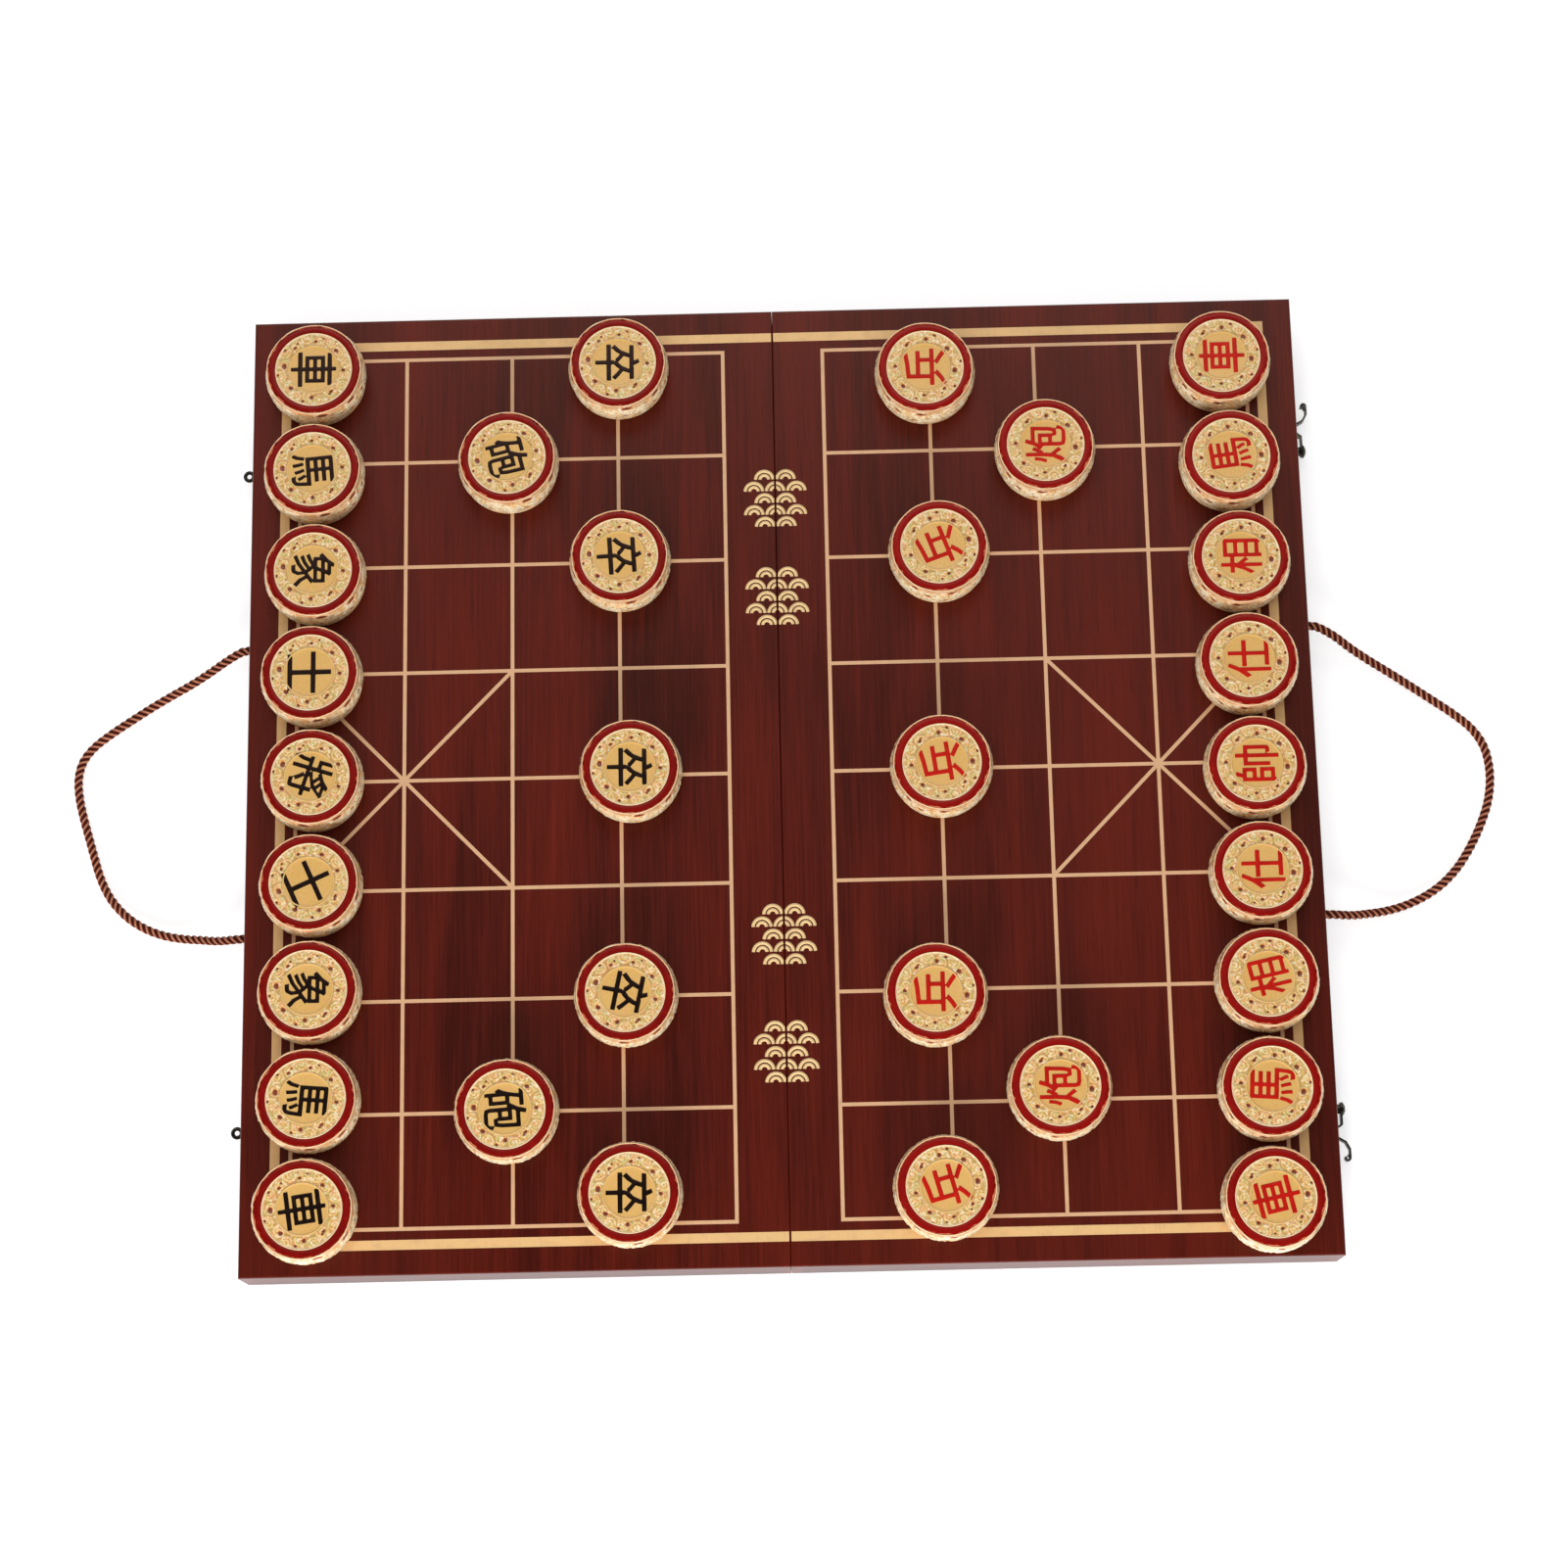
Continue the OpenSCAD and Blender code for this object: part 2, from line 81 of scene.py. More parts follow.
# Rope handles. Each row is percent of the reach out from the wall, percent of the way from the far hole to
# the near one, and percent of the drop from the holes to the table.
ROPE_RADIUS = 0.0021
ROPE_OFFSET = 0.069
ROPE_REACH = 0.084
ROPE_EXIT_HEIGHT = 0.01405
ROPE_LIE_HEIGHT = 0.0038
ROPE_PATH_STEP = 0.003
KNOT_RADIUS = 0.0055
KNOT_ROPE_RADIUS = 0.0019
LEFT_ROUTE = [
    (0, 0, 0), (7, 0, 5), (17, 3, 24), (26, 6, 50), (37, 10, 75), (48, 13, 92), (60, 17, 100),
    (71, 22, 100), (82, 26, 100), (92, 31, 100), (98, 36, 100), (100, 42, 100), (99, 49, 100),
    (96, 56, 100), (93, 63, 100), (89, 70, 100), (86, 77, 100), (80, 84, 100), (71, 90, 100),
    (61, 94, 100), (50, 97, 100), (39, 98, 92), (29, 99, 68), (18, 100, 35), (7, 100, 5), (0, 100, 0),
]
RIGHT_ROUTE = [
    (0, 0, 0), (7, 0, 5), (17, 3, 24), (26, 7, 50), (37, 11, 75), (48, 15, 92), (60, 20, 100),
    (71, 25, 100), (82, 30, 100), (92, 35, 100), (98, 41, 100), (100, 48, 100), (100, 55, 100),
    (98, 62, 100), (93, 69, 100), (87, 76, 100), (80, 83, 100), (70, 89, 100), (60, 93, 100),
    (49, 96, 100), (38, 98, 92), (27, 99, 68), (18, 100, 35), (7, 100, 5), (0, 100, 0),
]

# A piece's heights and radii, in metres
RING_INSIDE, RING_OUTSIDE = 0.0181, 0.02179
RING_FOOT, FACE_FOOT, MARK_FOOT, SHOULDER = 0.016, 0.0161, 0.0164, 0.0165
SIDE_MIDDLE, SIDE_RADIUS = 0.0085, 0.0235
BAND_MIDDLE = 0.01495

# Tints of the gloss on the lacquer and on the enamel
LACQUER_GLOSS = (1.0, 0.82, 0.72, 1.0)
ENAMEL_GLOSS = (1.0, 0.5, 0.42, 1.0)

# The generic marks of the ranks, with their height and width in millimetres as they are read
MARKS = {
    "dark_chariot": ("車", 21.6, 17.4), "red_chariot": ("車", 21.6, 17.4),
    "dark_horse": ("馬", 20.2, 16.6), "red_horse": ("馬", 20.2, 16.6),
    "dark_elephant": ("象", 20.4, 16.6), "red_elephant": ("相", 19.2, 17.0),
    "dark_advisor": ("士", 20.4, 20.0), "red_advisor": ("仕", 20.2, 18.0),
    "dark_general": ("將", 19.6, 19.4), "red_general": ("帥", 20.2, 17.2),
    "dark_cannon": ("砲", 19.6, 18.6), "red_cannon": ("炮", 19.6, 18.6),
    "dark_soldier": ("卒", 21.2, 18.2), "red_soldier": ("兵", 20.4, 18.4),
}

# How far each piece is set down turned from square, in degrees anticlockwise
TURNS = {
    "dark_general": -18, "dark_advisor_near": 24, "dark_horse_far": 5, "dark_horse_near": -5,
    "dark_chariot_near": 8, "dark_cannon_far": 14, "dark_cannon_near": 4, "dark_soldier_2": 3,
    "dark_soldier_4": -12, "red_elephant_near": 12, "red_chariot_near": 12, "red_horse_far": 7,
    "red_horse_near": -4, "red_soldier_2": 20, "red_soldier_3": 8, "red_soldier_5": 15,
}


def linear(red, green, blue):
    """A colour given by its 0 to 255 screen values, as the scene-linear values that a socket takes."""
    return [c / 255 / 12.92 if c <= 10 else ((c / 255 + 0.055) / 1.055) ** 2.4 for c in (red, green, blue)]


def colour_property(name, description, screen):
    return FloatVectorProperty(
        name=name, description=description, subtype="COLOR", size=3, min=0, max=1, default=linear(*screen)
    )


def length_property(name, description, default):
    return FloatProperty(
        name=name, description=description, subtype="DISTANCE", unit="LENGTH", precision=5, min=0,
        default=default,
    )


class BoardLooks(bpy.types.PropertyGroup):
    """Finishes of the box itself."""

    wood_dark: colour_property("Dark Wood", "Darkest streaks of the stained wood", (54, 8, 3))
    wood_light: colour_property("Light Wood", "Lightest streaks of the stained wood", (106, 25, 9))
    line: colour_property("Thin Lines", "Inlaid lines of the grid", (219, 172, 130))
    border: colour_property("Border Line", "Broad line round the grid", (230, 186, 126))
    river: colour_property("River Marks", "Wave marks inlaid along the river", (244, 208, 150))
    felt: colour_property("Felt", "Lining of the trays", (46, 66, 48))
    grain: length_property("Grain Width", "Distance between the streaks of the grain", 0.0011)
    wave_radius: length_property("Wave Radius", "Outer radius of one wave of the river's marks", 0.005)
    wave_line: length_property("Wave Line", "Width of the lines of the river's marks", 0.0015)
    wave_arcs: IntProperty(name="Wave Arcs", description="Arcs inside each other in a wave", default=2, min=1)


class PieceLooks(bpy.types.PropertyGroup):
    """Shape and finish of the carved game pieces."""

    resin_pale: colour_property("Pale Resin", "Raised carving and edges", (243, 207, 142))
    # Where the carving is low the golden resin is painted shade in the hollows; on the field of the mark it
    # is the resin's own colour.
    resin_gold: colour_property("Golden Resin", "Hollows and the field of the mark", (218, 168, 84))
    side: colour_property("Side Resin", "Raised carving of the side", (249, 206, 148))
    stain: colour_property("Stain", "Dark antiquing in the deepest cuts", (122, 56, 30))
    halo: colour_property("Stain Edge", "Antiquing round a cut", (206, 112, 58))
    smear: colour_property("Smear", "Paint rubbed over the shoulder of a piece", (222, 136, 96))
    dark_ring: colour_property("Dark Ring", "Enamel ring of the dark army", (126, 4, 1))
    red_ring: colour_property("Red Ring", "Enamel ring of the red army", (141, 5, 2))
    dark_mark: colour_property("Dark Marks", "Marks of the dark army", (20, 14, 11))
    red_mark: colour_property("Red Marks", "Marks of the red army", (192, 18, 8))
    segments: IntProperty(name="Segments", description="Steps round a piece", default=216, min=48, max=360)
    scrolls: IntProperty(name="Face Scrolls", description="Carved scrolls round the face", default=16, min=4)
    side_scrolls: IntProperty(
        name="Side Scrolls", description="Carved scrolls round the side", default=18, min=4
    )
    relief: length_property("Face Relief", "Height of the carving on the face", 0.00042)
    side_relief: length_property("Side Relief", "Depth of the carving in the side", 0.0008)
    stroke: length_property("Stroke", "How much the strokes of a mark are fattened", 0.00034)


class RopeLooks(bpy.types.PropertyGroup):
    """Shape and finish of the laid rope."""

    strands: IntProperty(name="Strands", description="Strands twisted together", default=3, min=2, max=4)
    lay: length_property("Lay", "Length of one full turn of a strand", 0.0095)
    step: length_property("Step", "Distance between the rings of a strand's mesh", 0.0005)
    # The dark fibre colour is painted shade in the rope's hollows, and the light one a painted highlight on
    # the crowns of its strands.
    dark: colour_property("Dark Fibre", "Fibre in the hollows of the rope", (84, 30, 18))
    light: colour_property("Light Fibre", "Fibre on the crowns of the strands", (206, 136, 106))


class MetalLooks(bpy.types.PropertyGroup):
    """Finish of the latches and hinges."""

    bronze: colour_property("Bronze", "Worn metal of the latches", (104, 100, 88))
    tarnish: colour_property("Tarnish", "Dark tarnish of the latches", (28, 24, 22))
    brass: colour_property("Hinge Metal", "Plated steel of the hinges", (150, 132, 100))


class StageLooks(bpy.types.PropertyGroup):
    """Camera and light."""

    lens: FloatProperty(name="Lens", description="Focal length of the camera", unit="CAMERA", default=77.13)
    key: FloatProperty(name="Front Light", description="Power of the lamp in front", unit="POWER", default=26)
    top: FloatProperty(name="Top Light", description="Power of the lamp above", unit="POWER", default=6.8)
    back: FloatProperty(name="Back Light", description="Power of the lamp behind", unit="POWER", default=5)
    room: FloatProperty(name="Room Light", description="Strength of the light from all round", default=0.36)


# Node trees


class Field:
    """A value in a node tree, so that node maths is written as plain maths."""

    def __init__(self, socket):
        self.tree = socket.id_data
        self.socket = socket

    def maths(self, operation, *others):
        inputs = dict(enumerate((self, *others)))
        return Field(made(self.tree, "ShaderNodeMath", inputs, operation=operation))

    __add__ = partialmethod(maths, "ADD")
    __sub__ = partialmethod(maths, "SUBTRACT")
    __mul__ = partialmethod(maths, "MULTIPLY")
    __truediv__ = partialmethod(maths, "DIVIDE")
    above = partialmethod(maths, "GREATER_THAN")
    below = partialmethod(maths, "LESS_THAN")
    most = partialmethod(maths, "MAXIMUM")
    least = partialmethod(maths, "MINIMUM")
    size = partialmethod(maths, "ABSOLUTE")
    floor = partialmethod(maths, "FLOOR")
    sine = partialmethod(maths, "SINE")
    cosine = partialmethod(maths, "COSINE")

    def ramp(self, low, high):
        """Rises smoothly from 0 at low to 1 at high."""
        inputs = {"Value": self, "From Min": low, "From Max": high}
        return Field(made(self.tree, "ShaderNodeMapRange", inputs, interpolation_type="SMOOTHSTEP"))

    def noise(self, seed):
        """A random number from 0 to 1 for each whole number."""
        inputs = {"W": self + seed}
        return Field(made(self.tree, "ShaderNodeTexWhiteNoise", inputs, noise_dimensions="1D"))


def feed(node, inputs):
    """Sets a node's inputs, by name or number, from values, fields and sockets."""
    for key, value in inputs.items():
        value = value.socket if isinstance(value, Field) else value
        if isinstance(value, bpy.types.NodeSocket):
            node.id_data.links.new(value, node.inputs[key])
        else:
            node.inputs[key].default_value = value
    return node


def set_up(thing, **settings):
    """Gives a node, a modifier or other data its settings."""
    for name, value in settings.items():
        setattr(thing, name, value)
    return thing


def add(tree, kind, inputs=None, **settings):
    """A new node with its settings and inputs."""
    return feed(set_up(tree.nodes.new(kind), **settings), inputs or {})


def made(tree, kind, inputs=None, **settings):
    """The first output of a new node."""
    return add(tree, kind, inputs, **settings).outputs[0]


def span(x, y):
    """The length of a flat vector."""
    return (x * x + y * y).maths("SQRT")


def parts(vector):
    """The X, Y and Z of a vector, as fields."""
    node = add(vector.id_data, "ShaderNodeSeparateXYZ", {"Vector": vector})
    return [Field(socket) for socket in node.outputs]


def vector(x, y, z=0):
    return made(x.tree, "ShaderNodeCombineXYZ", {"X": x, "Y": y, "Z": z})


def new_material(name):
    material = bpy.data.materials.new(name)
    material.use_nodes = True
    material.node_tree.nodes.clear()
    return material, material.node_tree


def finish_material(tree, colour, roughness, bump, settings):
    """Feeds a Principled shader, with a bump of a height, a distance and a strength, to the tree's output."""
    bump = made(tree, "ShaderNodeBump", dict(zip(("Height", "Distance", "Strength"), bump)))
    surface = made(tree, "ShaderNodeBsdfPrincipled", {
        "Base Color": colour, "Roughness": roughness, "Normal": bump, **settings,
    })
    add(tree, "ShaderNodeOutputMaterial", {"Surface": surface})


def object_space(tree, scale=(1, 1, 1)):
    """Object coordinates, stretched by a Mapping node."""
    place = add(tree, "ShaderNodeTexCoord").outputs["Object"]
    return made(tree, "ShaderNodeMapping", {"Vector": place, "Scale": scale})


def noise(vector, scale, detail=3.0, roughness=0.55, distortion=0.0):
    inputs = {
        "Vector": vector, "Scale": scale, "Detail": detail, "Roughness": roughness, "Distortion": distortion,
    }
    return Field(made(vector.id_data, "ShaderNodeTexNoise", inputs))


def grain(tree, scale, **settings):
    """Noise on Object coordinates."""
    return noise(object_space(tree), scale, **settings)


def blend(share, first, second):
    """A colour between two others, each a socket or three numbers."""
    first, second = (c if isinstance(c, bpy.types.NodeSocket) else (*c, 1.0) for c in (first, second))
    return add(share.tree, "ShaderNodeMix", {0: share, 6: first, 7: second}, data_type="RGBA").outputs[2]


def shaded(colour, amount):
    return [c * amount for c in colour]


def layered(colour, layers):
    """A colour with others laid over it in turn, each with its share."""
    for share, coat in layers:
        colour = blend(share, colour, coat)
    return colour


def attribute(tree, name):
    return add(tree, "ShaderNodeAttribute", attribute_name=name).outputs["Vector"]


# Geometry


def new_object(name, data):
    obj = bpy.data.objects.new(name, data)
    bpy.context.scene.collection.objects.link(obj)
    return obj


def mesh_from(name, points, edges=(), faces=()):
    mesh = bpy.data.meshes.new(name)
    mesh.from_pydata([tuple(p) for p in points], edges, faces)
    return mesh


def line_mesh(name, points):
    return mesh_from(name, points, [(i, i + 1) for i in range(len(points) - 1)])


def plain_mesh(name, shape, material):
    """A mesh with the shape of a bmesh, which is freed."""
    mesh = bpy.data.meshes.new(name)
    shape.to_mesh(mesh)
    shape.free()
    mesh.materials.append(material)
    return mesh


def then(geometry, kind, inputs=None, **settings):
    """A geometry after one more node."""
    return made(geometry.id_data, kind, {"Geometry": geometry, **(inputs or {})}, **settings)


def store(geometry, name, value, kind="FLOAT"):
    """Keeps a value for each point, under a name."""
    inputs = {"Name": name, "Value": value}
    return then(geometry, "GeometryNodeStoreNamedAttribute", inputs, data_type=kind, domain="POINT")


def new_geometry_tree(name, inputs):
    """A Geometry Nodes tree with named inputs, and what they give."""
    tree = bpy.data.node_groups.new(name, "GeometryNodeTree")
    tree.is_modifier = True
    for way in ("INPUT", "OUTPUT"):
        tree.interface.new_socket("Geometry", in_out=way, socket_type="NodeSocketGeometry")
    for label, value in inputs.items():
        kind = "NodeSocketInt" if isinstance(value, int) else "NodeSocketFloat"
        socket = tree.interface.new_socket(label, in_out="INPUT", socket_type=kind)
        socket.default_value = value
    return tree, {socket.name: Field(socket) for socket in add(tree, "NodeGroupInput").outputs}


def end_geometry_tree(tree, geometry, materials):
    """Realizes instances and sets the materials, each where its field says."""
    flow = then(geometry, "GeometryNodeRealizeInstances")
    for material, where in materials:
        flow = then(flow, "GeometryNodeSetMaterial", {"Selection": where, "Material": material})
    add(tree, "NodeGroupOutput", {"Geometry": flow})


def evaluated(obj):
    """What an object's curve or modifiers make, as a plain mesh. The object is removed."""
    graph = bpy.context.evaluated_depsgraph_get()
    mesh = bpy.data.meshes.new_from_object(
        obj.evaluated_get(graph), preserve_all_data_layers=True, depsgraph=graph
    )
    bpy.data.objects.remove(obj)
    return mesh


def swept(curve, profile):
    inputs = {"Curve": curve, "Profile Curve": profile, "Fill Caps": True}
    return made(curve.id_data, "GeometryNodeCurveToMesh", inputs)


def grow(name, seed, tree, sizes=()):
    """Runs a Geometry Nodes tree on a mesh, and returns what it makes as a plain mesh, right side out."""
    source = new_object(name, seed)
    modifier = source.modifiers.new(name, "NODES")
    modifier.node_group = tree
    for item in tree.interface.items_tree:
        if item.item_type == "SOCKET" and item.in_out == "INPUT" and item.name in sizes:
            modifier[item.identifier] = sizes[item.name]
    mesh = evaluated(source)
    if mesh.materials and mesh.materials[0] is None:
        used = [max(face.material_index - 1, 0) for face in mesh.polygons]
        mesh.materials.pop(index=0)
        mesh.polygons.foreach_set("material_index", used)
    mesh.name = name
    solid = bmesh.new()
    solid.from_mesh(mesh)
    if solid.calc_volume(signed=True) < 0:
        bmesh.ops.reverse_faces(solid, faces=solid.faces)
    solid.to_mesh(mesh)
    solid.free()
    return mesh


def piece(mesh, body, slot, *nodes):
    """Puts a finished mesh in the scene under its own name, on its body, in place of its CAD nodes."""
    obj = new_object(mesh.name, mesh)
    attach(obj, body)
    if nodes:
        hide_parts(*nodes)
    return obj


def dress(node, material):
    """Gives a CAD node a better material."""
    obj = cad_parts[node]
    for item in obj.material_slots:
        item.link = "OBJECT"
        item.material = material


# Finishes


def wood(looks, name, along):
    """Stained, lacquered wood. along is the axis of the grain, 0 for X and 1 for Y."""
    material, tree = new_material(name)

    def stretched(across, length):
        scale = [across] * 3
        scale[along] = length
        return object_space(tree, scale)

    pitch = 1 / looks.grain
    streaks = noise(stretched(1, 0.022), pitch, detail=4, roughness=0.62)
    bands = noise(stretched(1, 0.1), 55, detail=2, distortion=0.4)
    figure = noise(stretched(1, 0.2), 11, detail=2)
    pores = noise(stretched(1, 0.03), 2.4 * pitch, detail=1).ramp(0.62, 0.78)
    tone = (streaks * 0.5 + bands * 0.5 + figure * 0.35).ramp(0.38, 0.98)
    stained = blend(tone, looks.wood_dark, looks.wood_light)
    cool = blend(figure.ramp(0.4, 0.66) * 0.3, stained, linear(76, 24, 17))
    foot = parts(object_space(tree))[2].ramp(0.0024, 0.0018)
    colour = blend((pores * 0.45).most(foot * 0.7), cool, shaded(looks.wood_dark, 0.45))
    finish_material(tree, colour, streaks * 0.12 + 0.27, (streaks * 0.5 - pores, 0.00004, 0.5), {
        "Specular IOR Level": 0.3, "Specular Tint": LACQUER_GLOSS,
    })
    return material


def inlaid_line(looks):
    """Pale inlay: the border is a little more golden than the grid, and the river's marks are paler."""
    material, tree = new_material("inlaid_line")
    x, y, _ = parts(object_space(tree))
    x, y = x.size(), y.size()
    border = y.above(BORDER_FILE).most(x.above(BORDER_RANK))
    river = x.below(RIVER_HALF_WIDTH) * y.below(RIVER_HALF_LENGTH)
    fibres = noise(object_space(tree, (1, 0.12, 1)), 1500, detail=3)
    patches = grain(tree, 160, detail=3)
    colour = layered(looks.line, (
        (border, looks.border),
        (river, looks.river),
        (patches.ramp(0.45, 0.75) * 0.3, shaded(looks.line, 0.72)),
        (fibres.ramp(0.55, 0.8) * 0.3, shaded(looks.line, 0.6)),
    ))
    finish_material(tree, colour, fibres * 0.2 + 0.34, (fibres, 0.00003, 0.4), {})
    return material


def resin(looks):
    """Antiqued imitation ivory, with painted highlights, and painted shade in the hollows of its carving. It
    reads each point's own place on its piece, kept in the local attribute.
    """
    material, tree = new_material("carved_resin")
    x, y, z = parts(attribute(tree, "local"))
    radius = span(x, y)
    carving, stain = carved_face(x, y, looks.scrolls)
    side_carving, side_stain = carved_side(x, y, z, looks.side_scrolls)
    on_side = z.below(SHOULDER) * radius.above(RING_OUTSIDE)
    height = carving + side_carving * on_side
    cut = stain.most(side_stain * on_side)
    mottle = grain(tree, 700, detail=3, roughness=0.6)
    patch = grain(tree, 330, detail=2)
    cloud = grain(tree, 60, detail=2)
    field = radius.ramp(0.0122, 0.0112)
    band = radius.ramp(0.0116, 0.0124) * radius.ramp(0.018, 0.0172)
    # The band turns more golden where its carving is low, which is painted shade in its hollows; the field's
    # gold, the mottle and the clouds are the resin's own colour.
    gold = field * 0.62 + band * (mottle.ramp(0.38, 0.6) * 0.8 - height * 0.3) + cloud * 0.25
    bead_line = (radius - 0.0121).size().ramp(0.0004, 0.0001)
    # Whitish patches over the face outside the field: a painted highlight, standing in for gloss on the
    # resin.
    painted_highlight = grain(tree, 560, detail=2).ramp(0.54, 0.64) * radius.above(0.012)
    # Larger whitish patches on the side: a painted highlight, standing in for gloss on the carved side.
    painted_side_highlight = grain(tree, 300, detail=2).ramp(0.42, 0.52)
    flecks = grain(tree, 800, detail=1, distortion=0.8).ramp(0.6, 0.66) * z.ramp(0.0158, 0.0148)
    rubbed = grain(tree, 420, detail=3).ramp(0.28, 0.57) * z.ramp(0.0132, 0.0164)
    colour = layered(looks.resin_pale, (
        (gold.ramp(0.08, 1.0), looks.resin_gold),
        (patch.ramp(0.52, 0.62) * band * 0.7, linear(202, 190, 116)),
        (patch.ramp(0.47, 0.37) * (band * 0.3 + 0.2), linear(240, 164, 120)),
        # Ochre where the band's carving is low is painted shade in the hollows; the ochre ring line at the
        # bead is the piece's own.
        ((height.ramp(0.34, 0.1) * band * 0.5).most(bead_line * 0.5), linear(168, 116, 48)),
        # Whitish painted highlight patches on the face.
        (painted_highlight * 0.62, linear(255, 240, 206)),
        # Cream from the band's outer edge outwards, brightest on the rim just inside the enamel ring: a
        # painted highlight.
        (radius.ramp(0.0167, 0.0175) * 0.5, linear(255, 232, 194)),
        # The side colour is laid thinner under the painted highlight patches, so that they show on the side
        # as well.
        (on_side * (painted_highlight * -0.6 + 0.85), looks.side),
        # Painted highlight patches on the side.
        (on_side * painted_side_highlight * 0.85, linear(255, 241, 206)),
        # Tan where the side's carving is low: painted shade in its hollows.
        (on_side * side_carving.ramp(0.5, 0.1) * 0.5, linear(208, 150, 84)),
        (on_side * flecks * 0.6, linear(142, 96, 58)),
        (on_side * rubbed * 0.8, looks.smear),
        (cut.ramp(0, 0.45) * 0.75, looks.halo),
        (cut.ramp(0.4, 0.8), looks.stain),
    ))
    finish_material(tree, colour, mottle * 0.16 + 0.2, (mottle, 0.00003, 0.35), {
        "Subsurface Weight": 0.08, "Subsurface Radius": (1.0, 0.6, 0.35), "Subsurface Scale": 0.0012,
        "Coat Weight": 0.25, "Coat Roughness": 0.12,
    })
    return material


def enamel(name, colour, wear):
    """Glossy paint with a slightly uneven flow."""
    material, tree = new_material(name)
    flow = grain(tree, 330, detail=3)
    pool = grain(tree, 90, detail=1)
    thin = blend(flow.ramp(0.5, 0.8) * 0.4, colour, wear)
    mixed = blend(pool.ramp(0.4, 0.7) * 0.35, thin, shaded(colour, 0.6))
    finish_material(tree, mixed, flow * 0.15 + 0.25, (flow, 0.00004, 0.4), {
        "Specular IOR Level": 0.35, "Specular Tint": ENAMEL_GLOSS, "Coat Weight": 0.05, "Coat Roughness": 0.1,
    })
    return material


def ring_enamel(name, looks):
    """The enamel of the ring, with an uneven outer edge where the rim was rubbed bare."""
    material = enamel(name, getattr(looks, name), linear(172, 14, 6))
    tree = material.node_tree
    local = attribute(tree, "local")
    x, y, _ = parts(local)
    uneven = noise(local, 240, detail=2) - 0.5
    edge = span(x, y) + uneven * 0.004
    shader = next(node for node in tree.nodes if node.type == "BSDF_PRINCIPLED")
    painted = shader.inputs["Base Color"].links[0].from_socket
    rubbed = edge.ramp(0.0215, 0.02165) * 0.85
    feed(shader, {"Base Color": blend(rubbed, painted, looks.smear)})
    return material


def fibre(looks):
    """Rope fibre, painted lighter on the crowns of the strands as a highlight and darker between them as
    shade. The lay attribute holds the distance along a strand and the turn round it.
    """
    material, tree = new_material("rope_fibre")
    along, turn, outside = parts(attribute(tree, "lay"))
    yarn = (along * (1 / 0.0009) + turn * 3) * TAU
    ridges = yarn.sine() * 0.5 + 0.5
    fuzz = grain(tree, 1900, detail=4, roughness=0.7)
    patches = grain(tree, 130, detail=2)
    # The crowns of the strands are painted light and the hollows painted dark: a painted highlight and
    # painted shade. The yarn ridges, patches and fuzz are the fibre's own.
    crown = outside.ramp(0.86, 1.0)
    tone = (crown * crown * 0.8 + ridges * 0.16 + patches * 0.3 - 0.25 + fuzz * 0.24).ramp(0.25, 1.1)
    colour = blend(tone, looks.dark, looks.light)
    bump = (ridges * 0.7 + fuzz * 0.5, 0.00018, 0.8)
    finish_material(tree, colour, fuzz * 0.2 + 0.62, bump, {"Specular IOR Level": 0.2})
    return material


def felt_cloth(looks):
    """Pressed wool felt."""
    material, tree = new_material("felt_cloth")
    wool = grain(tree, 1400, detail=5, roughness=0.7)
    patches = grain(tree, 45, detail=3)
    colour = blend((wool * 0.7 + patches * 0.5).ramp(0.35, 0.85),
                   shaded(looks.felt, 0.6), shaded(looks.felt, 1.35))
    finish_material(tree, colour, 0.92, (wool, 0.0004, 0.8), {"Sheen Weight": 0.5, "Sheen Roughness": 0.45})
    return material


def worn_metal(name, bright, dark, rough):
    """Metal with tarnish in patches and rubbed high spots."""
    material, tree = new_material(name)
    patches = grain(tree, 420, detail=4, roughness=0.65)
    scratches = noise(object_space(tree, (1, 1, 0.15)), 2600, detail=2)
    share = (patches * 0.8 + scratches * 0.3).ramp(0.4, 0.72)
    colour = blend(share, dark, bright)
    bump = (scratches * 0.6 + patches, 0.00003, 0.4)
    finish_material(tree, colour, scratches * 0.2 + rough, bump, {"Metallic": 0.92})
    return material


# Carving, written once for the mesh and for its finish


def around(x, y, radius, count):
    """Shares a ring out in cells: a point's cell, its distance along it from its middle, and if it is odd."""
    turn = y.maths("ARCTAN2", x) * (count / TAU)
    cell = turn.floor()
    return cell, (turn - cell - 0.5) * radius * (TAU / count), cell.maths("MODULO", 2).size()


def swirl(across, out, pitch):
    """A one-armed spiral groove about a point, from 0 in the groove to 1 on the ridge, and the distance."""
    distance = span(across, out)
    wave = (distance * (TAU / pitch) - out.maths("ARCTAN2", across)).cosine()
    return wave * 0.5 + 0.5, distance


def speck(across, out, centre_across, centre_out, half_length, half_width):
    """1 in a small oval, 0 outside it."""
    u = (across - centre_across) / half_length
    v = (out - centre_out) / half_width
    return span(u, v).ramp(1.75, 0.6)


